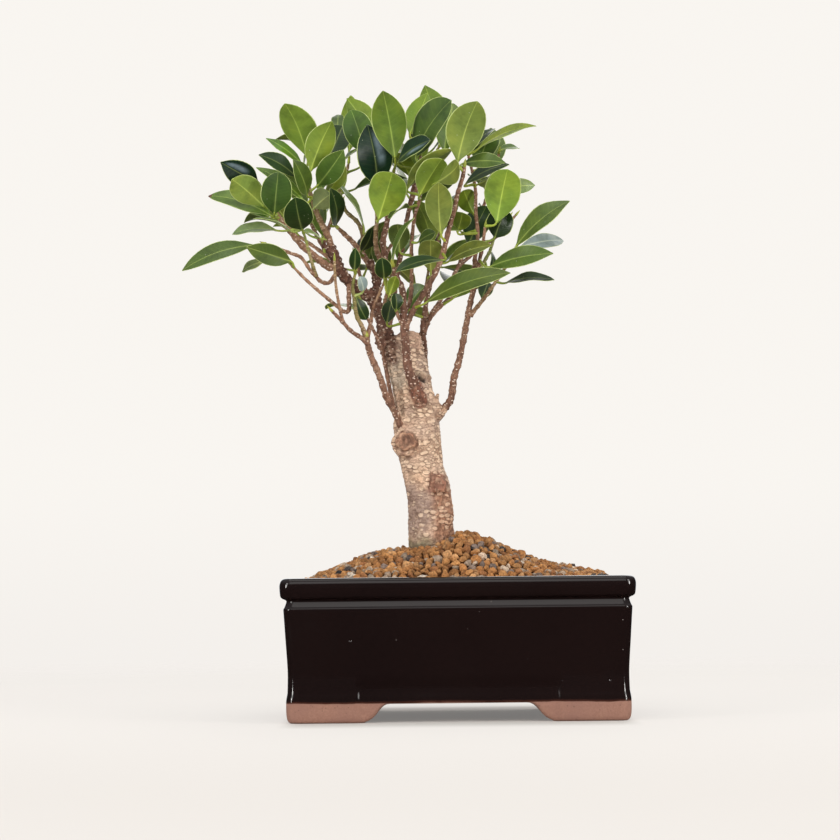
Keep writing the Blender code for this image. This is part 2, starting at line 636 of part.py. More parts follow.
def make_soil(trunk_cutter, screens, parts, cutters):
    bm = grain_sheet([2 * (half - INNER_WALL_INSET + SOIL_BLOCK_SPARE) for half in RIM_HALF])
    grown = bmesh.ops.extrude_face_region(bm, geom=list(bm.faces))["geom"]
    bottom = [g for g in grown if isinstance(g, bmesh.types.BMVert)]
    for vert in bottom:
        vert.co.z = SOIL_BLOCK_BOTTOM
    bmesh.ops.dissolve_limit(bm, angle_limit=0.01, verts=bottom, edges=bm.edges[:])
    soil = add_object("soil", mesh_from(bm, "soil"), parts, "granules")
    cavity = []
    for z, inset, radius, _ in reversed(POT_PROFILE[-4:]):
        gap = inset + CLEARANCE
        height = FLOOR_TOP + CLEARANCE if z == FLOOR_TOP else z
        cavity.append(rounded_outline(RIM_HALF[0] - gap, RIM_HALF[1] - gap, radius, height))
    cavity[-1] = [Vector((p.x, p.y, ABOVE_SOIL)) for p in cavity[-2]]
    room = as_cutter(add_object("room_for_soil", loft(cavity, "room_for_soil"), cutters))
    keep = soil.modifiers.new("keep", "BOOLEAN")
    keep.operation = "INTERSECT"
    keep.object = room
    apply_modifiers(soil)
    cut(soil, trunk_cutter)
    for screen, side in zip(screens, (-1, 1)):
        size = SCREEN_SIDE + 2 * CLEARANCE
        height = SCREEN_THICKNESS + 2 * CLEARANCE + 0.002
        top = FLOOR_TOP + CLEARANCE + SCREEN_THICKNESS + CLEARANCE
        centre = (side * DRAIN_SPACING, 0, top - height / 2)
        pocket = add_object(f"cut_{screen.name}", box_mesh("pocket", (size, size, height), centre), cutters)
        cut(soil, as_cutter(pocket))
    smooth(soil.data, 25)
    return soil


def trunk_mesh(grow):
    """The trunk's wavering round, every radius larger by grow, in metres."""
    rings = []
    for z, x, y, rx, ry in TRUNK_RINGS:
        ring = []
        for side in range(TRUNK_SIDES):
            angle = 2 * math.pi * side / TRUNK_SIDES
            ripple = TRUNK_RIPPLE * (math.sin(3 * angle + z / 9) + math.sin(5 * angle - z / 13))
            across = (rx + ripple) * MM + grow
            deep = (ry + ripple) * MM + grow
            out = Vector((across * math.cos(angle), deep * math.sin(angle), 0))
            ring.append(Vector((x, y, z)) * MM + out)
        rings.append(ring)
    low, high = rings[0], rings[-1]
    rings[0] = [p - Vector((0, 0, grow)) for p in low]
    rings[-1] = [p + Vector((0, 0, grow)) for p in high]
    return loft(rings, "trunk")


def burl_mesh(centre, radii, grow):
    bm = bmesh.new()
    bmesh.ops.create_icosphere(bm, subdivisions=1, radius=1.0)
    bmesh.ops.scale(bm, verts=bm.verts, vec=[r * MM + grow for r in radii])
    bmesh.ops.translate(bm, verts=bm.verts, vec=Vector(centre) * MM)
    return mesh_from(bm, "burl")


def tube_mesh(route, first, last, resolution, grow=0.0):
    """A tapering round bar along a route in millimetres, as a welded mesh."""
    curve = bpy.data.curves.new("limb", "CURVE")
    curve.dimensions = "3D"
    curve.bevel_depth = 1.0
    curve.bevel_resolution = resolution
    curve.use_fill_caps = True
    spline = curve.splines.new("POLY")
    spline.points.add(len(route) - 1)
    for index, (point, place) in enumerate(zip(spline.points, route)):
        share = index / (len(route) - 1)
        point.co = (*(Vector(place) * MM), 1.0)
        point.radius = (first + (last - first) * share) * MM + grow
    ob = bpy.data.objects.new("limb", curve)
    bpy.context.scene.collection.objects.link(ob)
    depsgraph = bpy.context.evaluated_depsgraph_get()
    mesh = bpy.data.meshes.new_from_object(ob.evaluated_get(depsgraph))
    bpy.data.objects.remove(ob)
    bpy.data.curves.remove(curve)
    bm = bmesh.new()
    bm.from_mesh(mesh)
    bpy.data.meshes.remove(mesh)
    bmesh.ops.remove_doubles(bm, verts=bm.verts, dist=0.00001)
    return mesh_from(bm, "limb")


def fuse(name, meshes, look, parts, solver="EXACT"):
    """One body from several closed meshes, by one union on a collection."""
    extra = new_collection(f"{name}_pieces")
    for index, mesh in enumerate(meshes[1:]):
        add_object(f"{name}_piece_{index}", mesh, extra)
    whole = add_object(name, meshes[0], parts, look)
    union = whole.modifiers.new("union", "BOOLEAN")
    union.operation = "UNION"
    union.operand_type = "COLLECTION"
    union.collection = extra
    union.solver = solver
    apply_modifiers(whole)
    for ob in list(extra.objects):
        bpy.data.objects.remove(ob)
    bpy.data.collections.remove(extra)
    whole.data.materials.clear()
    whole.data.materials.append(material(look))
    return whole


def wood_meshes(grow=0.0):
    meshes = [trunk_mesh(grow)]
    meshes.append(tube_mesh(LEADER_FOOT, *LEADER_FOOT_RADII, 2, grow))
    meshes.append(tube_mesh(LEADER_ROUTE, *LEADER_RADII, 2, grow))
    meshes.append(tube_mesh(DARK_ROUTE, *DARK_RADII, 2, grow))
    meshes += [burl_mesh(centre, radii, grow) for centre, radii in BURLS]
    return meshes


def make_trunk(parts):
    trunk = fuse("trunk", wood_meshes(), "bark", parts)
    smooth(trunk.data, 50)
    return trunk


def make_trunk_cutter(cutters):
    cutter = fuse("cut_trunk", wood_meshes(CLEARANCE), "bark", cutters)
    return as_cutter(cutter)


def turned_normal(direction, degrees):
    """The normal of a blade turned by degrees from showing its upper face to the front."""
    front = Vector((0, -1, 0))
    facing = front - front.dot(direction) * direction
    if facing.length < 0.05:
        facing = Vector((0, 0, 1)) - direction.z * direction
    facing.normalize()
    side = direction.cross(facing)
    angle = math.radians(degrees)
    return facing * math.cos(angle) + side * math.sin(angle)


def blade_ring(centre, side, normal, half_width, fold, thickness):
    """Six points across a blade: left edge, rib and right edge, above and then below."""
    lift = normal * (fold * half_width)
    half = normal * (thickness / 2)
    left = centre - side * half_width + lift
    right = centre + side * half_width + lift
    return [left + half, centre + half, right + half, right - half, centre - half, left - half]


def add_stalk(bm, blade_end, root, base, side, normal):
    """A three-sided stalk from its root inside the limb to the six points at the blade's base."""
    run = (base - root).normalized()
    across = run.cross(normal)
    if across.length < 0.2:
        across = side - run * side.dot(run)
    across.normalize()
    above = across.cross(run)
    crest = bm.verts.new((root + above * STALK_RADIUS) * MM)
    right = bm.verts.new((root + (across - above / 2) * STALK_RADIUS) * MM)
    left = bm.verts.new((root - (across + above / 2) * STALK_RADIUS) * MM)
    ends = blade_end[1:] + blade_end[:1]
    starts = (crest, right, right, left, left, crest)
    for i in range(6):
        j = (i + 1) % 6
        bm.faces.new((starts[i], ends[j], ends[i]))
        if starts[j] != starts[i]:
            bm.faces.new((starts[i], starts[j], ends[j]))
    bm.faces.new((crest, right, left))


def leaf_mesh(leaf, thickness, width_share=1.0, stalk=True):
    """A leaf with its stalk as one closed solid, split alike on both faces."""
    base, tip, normal, width, root = leaf
    direction = (tip - base).normalized()
    length = (tip - base).length
    side = direction.cross(normal).normalized()
    rings = []
    for share, wide in BLADE_STATIONS:
        arch = normal * (4 * BLADE_ARCH * length * share * (1 - share))
        centre = base + direction * (length * share) + arch
        half_width = max(wide * width * width_share / 2, STALK_RADIUS)
        thick = thickness if share > 0 else max(thickness, 1.6 * STALK_RADIUS)
        rings.append(blade_ring(centre, side, normal, half_width, BLADE_FOLD, thick))
    bm = bmesh.new()
    loops = [[bm.verts.new(p * MM) for p in ring] for ring in rings]
    if stalk:
        add_stalk(bm, loops[0], root, base, side, normal)
    else:
        bm.faces.new(list(reversed(loops[0])))
    for low, high in zip(loops, loops[1:]):
        for a, b in ((0, 1), (1, 2), (2, 3), (5, 0)):
            bm.faces.new((low[a], low[b], high[b]))
            bm.faces.new((low[a], high[b], high[a]))
        for a, b in ((3, 4), (4, 5)):
            bm.faces.new((low[a], low[b], high[a]))
            bm.faces.new((low[b], high[b], high[a]))
    top = bm.verts.new((tip + normal * thickness / 2) * MM)
    under = bm.verts.new((tip - normal * thickness / 2) * MM)
    last = loops[-1]
    bm.faces.new((last[0], last[1], top))
    bm.faces.new((last[1], last[2], top))
    bm.faces.new((last[3], last[4], under))
    bm.faces.new((last[4], last[5], under))
    bm.faces.new((last[2], last[3], under))
    bm.faces.new((last[2], under, top))
    bm.faces.new((last[5], last[0], top))
    bm.faces.new((last[5], top, under))
    return mesh_from(bm, "leaf")


def nearest_on_limbs(limbs, point):
    """The nearest point of a branch's limbs to a point, both in millimetres."""
    best, best_gap = None, 1e9
    for route, _, _ in limbs.values():
        for a, b in zip(route, route[1:]):
            a, b = Vector(a), Vector(b)
            run = b - a
            share = min(max((point - a).dot(run) / run.length_squared, 0.0), 1.0)
            at = a + run * share
            if (at - point).length < best_gap:
                best, best_gap = at, (at - point).length
    return best


class Crowd:
    """What stands in the crown already, against which each new leaf is tested."""

    def __init__(self):
        self.vertices = []
        self.faces = []
        self.owners = []

    def add(self, mesh, owner):
        start = len(self.vertices)
        self.vertices += [v.co.copy() for v in mesh.vertices]
        for polygon in mesh.polygons:
            self.faces.append([start + i for i in polygon.vertices])
            self.owners.append(owner)

    def tree(self, without=None):
        faces = [f for f, owner in zip(self.faces, self.owners) if owner != without]
        return BVHTree.FromPolygons(self.vertices, faces)


def tree_of(mesh):
    return BVHTree.FromPolygons([v.co for v in mesh.vertices], [list(p.vertices) for p in mesh.polygons])


def is_clear(leaf, all_tree, others_tree):
    """True if the blade misses everything, and the stalk all that is on other branches."""
    blade = leaf_mesh(leaf, CLEAR_THICKNESS, CLEAR_WIDTH, stalk=False)
    crossing = tree_of(blade).overlap(all_tree)
    bpy.data.meshes.remove(blade)
    if crossing:
        return False
    whole = leaf_mesh(leaf, CLEAR_THICKNESS, CLEAR_WIDTH)
    crossing = tree_of(whole).overlap(others_tree)
    bpy.data.meshes.remove(whole)
    return not crossing


def read_leaf(row, limbs, swing):
    """A leaf from its row, with its tip moved in depth and its blade turned by the swing."""
    base, tip, width, degrees = row
    base, tip = Vector(base), Vector(tip)
    tip.y += swing[0]
    direction = (tip - base).normalized()
    root = nearest_on_limbs(limbs, base - direction * (0.15 * (tip - base).length))
    return base, tip, turned_normal(direction, degrees + swing[1]), width, root


def along_limb(route, back):
    """The point of a route that lies a distance back from its end, and the way it runs."""
    points = [Vector(p) for p in route]
    for b, a in zip(reversed(points), list(reversed(points))[1:]):
        run = b - a
        if back <= run.length:
            return b - run.normalized() * back, run.normalized()
        back -= run.length
    return points[0], (points[1] - points[0]).normalized()


def spray_leaf(route, index, first, draws, twist):
    """One leaf of a spiral round a shoot, the last ones nearest its tip."""
    length, share, pitch, stalk = draws
    root, axis = along_limb(route, index * SPRAY_STEP)
    aside = axis.cross(Vector((0, 0, 1)))
    aside = aside.normalized() if aside.length > 0.1 else Vector((1, 0, 0))
    turn = math.radians(first + twist) + index * SPIRAL_TURN
    out = Matrix.Rotation(turn, 3, axis) @ aside
    pitch = math.radians(pitch if index else pitch * 0.3)
    direction = (axis * math.cos(pitch) + out * math.sin(pitch)).normalized()
    base = root + direction * stalk
    droop = Vector((0, 0, -0.12 * length * math.sin(pitch)))
    tip = base + direction * length + droop
    direction = (tip - base).normalized()
    upward = Vector((0, 0, 0.8)) + axis * 0.5 - out * 0.2
    normal = (upward - upward.dot(direction) * direction).normalized()
    return base, tip, normal, length * share, root


def place_leaves(limb_meshes):
    """Every leaf of every branch, each swung clear of the wood and of the leaves before it."""
    crowd = Crowd()
    for mesh in wood_meshes():
        crowd.add(mesh, "wood")
    for name, meshes in limb_meshes.items():
        for mesh in meshes:
            crowd.add(mesh, name)
    placed = {name: [] for name in BRANCHES}

    def settle(name, choices):
        all_tree, others_tree = crowd.tree(), crowd.tree(without=name)
        for leaf in choices:
            if is_clear(leaf, all_tree, others_tree):
                mesh = leaf_mesh(leaf, BLADE_THICKNESS)
                crowd.add(mesh, name)
                placed[name].append(mesh)
                return True
        return False

    for name, rows in LEAVES.items():
        for row in rows:
            if not settle(name, [read_leaf(row, BRANCHES[name], swing) for swing in SWINGS]):
                print("no room for leaf", name, row)
    rng = random.Random(SEED)
    for name, limb, count, first, fallen in SPRAYS:
        route = BRANCHES[name][limb][0]
        for index in range(count):
            draws = (rng.uniform(*SPRAY_LENGTHS), rng.uniform(*SPRAY_WIDTH_SHARE),
                     rng.uniform(*SPRAY_PITCH), rng.uniform(*SPRAY_STALK))
            if index in fallen:
                continue
            choices = [spray_leaf(route, index, first, draws, twist) for twist in SPRAY_SWINGS]
            choices = [
                leaf for leaf in choices if abs(leaf[1].y) < DEEPEST_LEAF and leaf[1].z < HIGHEST_LEAF
            ]
            if not settle(name, choices):
                print("no room for spray leaf", name, limb, index)
    return placed


def make_branches(trunk_cutter, parts):
    limb_meshes = {}
    for name, limbs in BRANCHES.items():
        limb_meshes[name] = [
            tube_mesh(route, first, last, 1 if first > SLIM_TWIG else 0)
            for route, first, last in limbs.values()
        ]
    leaves = place_leaves(limb_meshes)
    branches = []
    for name in BRANCHES:
        branch = fuse(name, limb_meshes[name] + leaves[name], "foliage", parts, "MANIFOLD")
        cut(branch, trunk_cutter)
        branches.append(branch)
    return branches


def move_to_place(objects):
    """Sets the pot's centre where the whole stands centred on the origin."""
    for ob in objects:
        ob.location = POT_CENTRE


def main():
    clear_scene()
    parts = new_collection("bonsai")
    cutters = new_collection("cutters")
    pot = make_pot(parts, cutters)
    trunk = make_trunk(parts)
    trunk_cutter = make_trunk_cutter(cutters)
    screens = [
        make_screen("drain_screen_left", -DRAIN_SPACING, parts),
        make_screen("drain_screen_right", DRAIN_SPACING, parts),
    ]
    soil = make_soil(trunk_cutter, screens, parts, cutters)
    branches = make_branches(trunk_cutter, parts)
    move_to_place([pot, trunk, soil, *screens, *branches])


main()
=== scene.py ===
"""Dresses the potted ficus bonsai: glazed pot, clay granules, bark, twigs and leaves.

Tables are in millimetres from the centre of the pot's footprint, and everything is made in
metres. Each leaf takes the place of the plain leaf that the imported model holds.
"""
import math
import random
from functools import partialmethod

import bmesh
import bpy
import numpy as np
from mathutils import Matrix, Vector, kdtree, noise


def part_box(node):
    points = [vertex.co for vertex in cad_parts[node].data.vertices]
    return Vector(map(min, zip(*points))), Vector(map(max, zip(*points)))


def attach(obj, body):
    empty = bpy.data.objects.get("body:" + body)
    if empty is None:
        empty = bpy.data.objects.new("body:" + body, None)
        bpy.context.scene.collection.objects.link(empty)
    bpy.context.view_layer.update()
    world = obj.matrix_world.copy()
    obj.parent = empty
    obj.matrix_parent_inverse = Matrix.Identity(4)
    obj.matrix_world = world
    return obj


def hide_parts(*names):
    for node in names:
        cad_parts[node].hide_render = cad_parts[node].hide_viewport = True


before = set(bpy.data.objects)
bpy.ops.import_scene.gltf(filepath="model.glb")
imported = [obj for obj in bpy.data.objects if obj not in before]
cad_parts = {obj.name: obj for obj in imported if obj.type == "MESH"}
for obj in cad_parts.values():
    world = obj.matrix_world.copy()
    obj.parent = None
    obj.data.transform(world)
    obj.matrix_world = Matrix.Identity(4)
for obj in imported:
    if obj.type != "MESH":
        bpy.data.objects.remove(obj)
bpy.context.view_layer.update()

MM = 0.001
POT_LOW, POT_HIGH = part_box("pot")
POT_CENTRE = Vector(((POT_LOW.x + POT_HIGH.x) / 2, (POT_LOW.y + POT_HIGH.y) / 2, POT_LOW.z))

# The camera: the photograph's frame is 840 pixels wide
PHOTO_SIDE = 840
FOCAL_PIXELS = 2685
SENSOR = 36.0
CAMERA_PLACE = Vector((-20.1, -1577.5, 81.0)) * MM
CAMERA_TILT = 3.35
CAMERA_ROLL = 0.6

# The pot, in millimetres
POT_TOP = 81
RIM_HALF = (100, 77.5)
FEET_HEIGHT = 10.5
FLOOR_TOP = 17.5
FOOT_WALL = 14
INNER_INSET = 10.2
# Rows of the skin with a smaller inset than this are on the outside
OUTSIDE_INSET = 9
# Where the glaze ends and how far that edge wanders
GLAZE_EDGE = 9.9
GLAZE_WANDER = 2
# Half the gap between the two front feet at rising heights, and how much closer the side feet are
GAP_HALF = (
    (0, 53), (0.5, 52.4), (1.2, 50.6), (2.4, 48.5), (4.4, 46.4), (6.2, 45.2), (7.8, 44.1),
    (9.3, 42.6), (10.1, 41), (10.4, 39.6), (10.5, 37.5),
)
SIDE_GAP_LESS = 12.5
# Steps along half a side: up to the foot's edge, past the apron's end, and on to the corner
SIDE_STEPS = (14, 44, 12)
# The apron over a gap lies a little back, with soft ends and a soft top
APRON_DEPTH = 1.3
APRON_HALF = (56, 43.5)
APRON_SOFT = 2.2
APRON_TOP = (19, 27)
DRAIN_RADIUS = 8
DRAIN_SPACING = 45
DRAIN_CUT = 30
# Heights under this one are squeezed over a gap, so that the wall's rows follow its edge
SOLE_BLEND = 12
# The hand-made wave in the walls: its height and length
POT_WAVE = 0.14
POT_WAVE_LENGTH = 36
# Height, inset from the rim's outline and corner radius, from the sole over the rim to the inside
POT_PROFILE = (
    (0, 7.6, 2.8), (0, 6.4, 3.2), (0.25, 5.4, 3.8), (1, 4.5, 4.4), (2.4, 3.85, 4.8),
    (4.5, 3.5, 5), (7, 3.35, 5.2), (10, 3.35, 5.2), (12.6, 3.4, 5.2), (14.4, 3.6, 5.2),
    (16.2, 3.95, 5.2), (18, 4.15, 5.2), (22, 4.3, 5.2), (28, 4.35, 5.2), (36, 3.95, 5.2),
    (48, 3.15, 5.2), (58, 2.5, 5.2), (62.6, 2.2, 5.2), (63.7, 2.2, 5.2), (64.3, 2.45, 5.1),
    (64.9, 2.8, 5), (66.2, 3.3, 4.9), (67.6, 3.75, 4.9), (68.3, 3.85, 4.9), (68.8, 3.5, 5),
    (69.2, 2.7, 5.3), (69.6, 1.8, 5.8), (70.1, 1.1, 6.2), (70.9, 0.6, 6.5), (72.5, 0.25, 6.8),
    (74.5, 0.05, 7), (76.8, 0, 7), (78.6, 0.35, 6.9), (79.9, 1.05, 6.5), (80.7, 2.1, 5.9), (81, 3.4, 5.2),
    (81, 6.4, 4.6), (80.8, 8.2, 4.2), (80, 9.5, 4), (78.6, 10, 4), (74, 10.1, 4.2),
    (65, INNER_INSET, 4.5),
)
FOOT_INSET = 3.4
FOOT_ROUND = 5.2
CORNER_STEPS = 10

# Drain screens
SCREEN_SIDE = 26
SCREEN_BARS = 14
SCREEN_BAR = 0.55
SCREEN_THICKNESS = 1.2
SCREEN_CLEARANCE = 0.3
# Height of the bars along the pot and of those across it, as shares of the thickness
SCREEN_LEVELS = (0.36, 0.64)

# The soil: seed of its draws, and height of the mound along the pot, above the rim
SOIL_SEED = 11
MOUND_RIDGE = (
    (-90, -2.5), (-76, 3), (-64, 8), (-54, 12.5), (-40, 16), (-28, 17), (-10, 21.5),
    (1, 26), (11, 24.8), (23, 20), (35, 14.3), (45, 10), (57, 6.8), (71, 4.5), (83, 1.5), (90, -2),
)
SOIL_HALF = (RIM_HALF[0] - INNER_INSET, RIM_HALF[1] - INNER_INSET)
SOIL_EDGE_DROP = 2.5
SOIL_FALL_POWER = 1.7
GRAIN_COUNT = 1350
GRAIN_RADII = (1.9, 3.6)
GRAIN_SHAPES = 22
GRAIN_FLATS = 9
GRAIN_TRIES = 160000
# The grid in which near grains are looked up, and how close two may come, as a share of their
# radii, first for the large grains and then for the small ones
GRAIN_CELL = 6
GRAIN_SQUEEZE = (0.8, 0.66)
GRAIN_COLOURS = (
    ((196, 140, 84), 34), ((182, 124, 70), 26), ((208, 156, 104), 12), ((162, 108, 64), 10),
    ((170, 148, 128), 6), ((138, 120, 110), 5), ((214, 190, 166), 4), ((236, 222, 204), 2),
    ((86, 76, 72), 3), ((56, 54, 56), 1.5), ((186, 164, 142), 3),
)
BED_DROP = 2.3
BED_DEPTH = 12
TRUNK_FOOT = ((-13, 0), 15.6)

# The trunk: height, centre across and in depth, radii across and in depth
TRUNK_RINGS = (
    (46, -12, 2, 3, 3), (54, -12, 1, 9, 8.5), (68, -12.5, 0, 14.5, 14), (84, -13, 0, 16.6, 16),
    (93, -13, 0, 14.8, 14.5), (100, -13.2, 0, 13.6, 13.4), (109, -14, 0, 13.4, 13),
    (123, -15, 0, 12.9, 12.8), (138, -17, 0, 12.8, 12.6), (146, -19.2, 0, 12.6, 12.4),
    (158, -20.7, 0, 13, 12.6), (168, -21.8, 0, 13.3, 12.6), (182, -22.4, 0, 12.6, 12.2),
    (190, -24, 0, 11.8, 11.8), (201, -26, 0, 11.8, 11.6), (210, -28, 0, 11.6, 11.4),
    (217, -29.5, 0, 12, 10.6), (222, -28.5, 0.5, 9.5, 8.5), (225, -26, 0.5, 5.5, 5.5),
)
# Swellings of the trunk: centre and radii
BURLS = (
    ((-28.5, -7.5, 159), (8.3, 7, 9)), ((-9.8, -8, 134), (6.2, 6.2, 7.6)),
    ((-7.5, -6.5, 117), (6.2, 7, 17)), ((-21.3, -9, 194.3), (6, 5.5, 9)),
    ((-11.5, -2, 179), (4.4, 5.5, 6.5)), ((-31, -7, 170), (5, 5.5, 7)),
    ((-41.5, 1, 219.5), (4.5, 5, 5.5)),
)
LEADER_FOOT = ((-33, 1, 204), (-37, 2, 214), (-39.5, 2.5, 223), (-41.5, 3, 231), (-44, 4, 239))
LEADER_FOOT_RADII = (6.8, 3.1)
LEADER_ROUTE = ((-44, 4, 238), (-45, 5, 246), (-45, 6.5, 254), (-46, 8, 262), (-49, 9, 269))
LEADER_RADII = (3.1, 2.2)
DARK_ROUTE = (
    (-45, 5, 240), (-49, 2, 246), (-54, 0, 250), (-58, -3, 253.5), (-62, -5, 256),
    (-66, -8, 261), (-69, -9, 268), (-71.5, -8, 275),
)
DARK_RADII = (3.2, 3.4)
TRUNK_VOXEL = 0.5
# Collars where the limbs leave the wood: branch, and how far and how wide they swell
COLLARS = {
    "right": (11, 1.9), "front": (12, 1.75), "left": (7, 1.6), "thin": (5, 1.5),
    "behind_right": (9, 1.7), "back": (9, 1.6), "back_low": (8, 1.6),
    "back_right": (8, 1.6), "centre": (6, 1.3), "top": (6, 1.3),
    "back_left": (6, 1.4), "upper_left": (5, 1.3), "far_left": (4, 1.3),
    "long_left": (4, 1.3), "left_top": (5, 1.35),
}
# Dead stubs on the wood: place, direction, length and radius
STUBS = (
    ((-11, -4, 182), (0.25, -0.3, 1), 7, 1.5),
    ((-45.5, 1, 246), (-0.5, -0.35, 0.9), 6.5, 1.4),
    ((-71, -8, 271), (-0.75, -0.3, 0.8), 8.5, 1.5),
    ((-72.5, -8, 272), (-0.4, -0.5, 1), 8, 1),
    ((-70, -8, 272), (-0.9, 0.1, 0.7), 7, 0.9),
)

# Marks on the trunk: the hollow scar, a slit that slopes down to the right under an arched lip, the
# whorl on the left knob, the burl low on the right and the swelling that bears the front limb
SCAR_HOLE = Vector((-18.2, -12.6, 196.6))
SCAR_HALF = (4.2, 3.4, 1.7)
SCAR_SLOPE = math.radians(30)
SCAR_LIP = (Vector((-19.6, -12, 193.6)), 6.4)
LEFT_KNOB = Vector((-28.3, -12, 160))
RIGHT_BURL = Vector((-9.7, -11, 134.5))
FRONT_COLLAR = ((-19.5, -13, 184), (-22.5, -15, 191), (-25.5, -17, 199), (-27, -19, 208))
# Patches of other bark: centre, radius, colour, how strong it is and how coarse
PATCHES = (
    (Vector((-34, -8, 200)), 10, (222, 206, 184), 0.8, 0),
    (LEFT_KNOB, 8.5, (158, 112, 86), 0.8, 0.7),
    (RIGHT_BURL, 8.5, (150, 98, 76), 0.9, 0.8),
    (Vector((-5, -7, 121)), 14, (172, 122, 92), 0.8, 0.7),
    (Vector((-5, -8, 105)), 13, (172, 122, 92), 0.8, 0.7),
    (Vector((-24, -5, 221)), 9, (205, 165, 140), 0.6, 0.2),
    (Vector((-10, -2, 178)), 5, (165, 120, 88), 0.6, 0.4),
    (Vector((-27, -8, 120)), 18, (158, 136, 126), 0.8, 0.2),
    (Vector((-20, -12, 181)), 7, (140, 112, 84), 0.5, 0.3),
)
# Middles of the scaly bark, low on the right and at the foot of the leader, and its reach
SCALY = (Vector((-6, -6, 116)), Vector((-38, 2, 216)))
SCALY_REACH = 22
TRUNK_PALE = (224, 188, 158)
TRUNK_GREY = (200, 174, 156)
LEADER_DARK = (114, 76, 60)
LIMB_DARK = (142, 92, 72)
SCAR_CREAM = (222, 200, 174)
# Painted shade that fills the scar's hollow
SCAR_SHADE = (30, 20, 16)
MOSS = (98, 110, 62)
# Corky plates: how many to a metre, and the share of them that is there
PLATE_CELLS = 265
PLATE_SHARE = 0.74

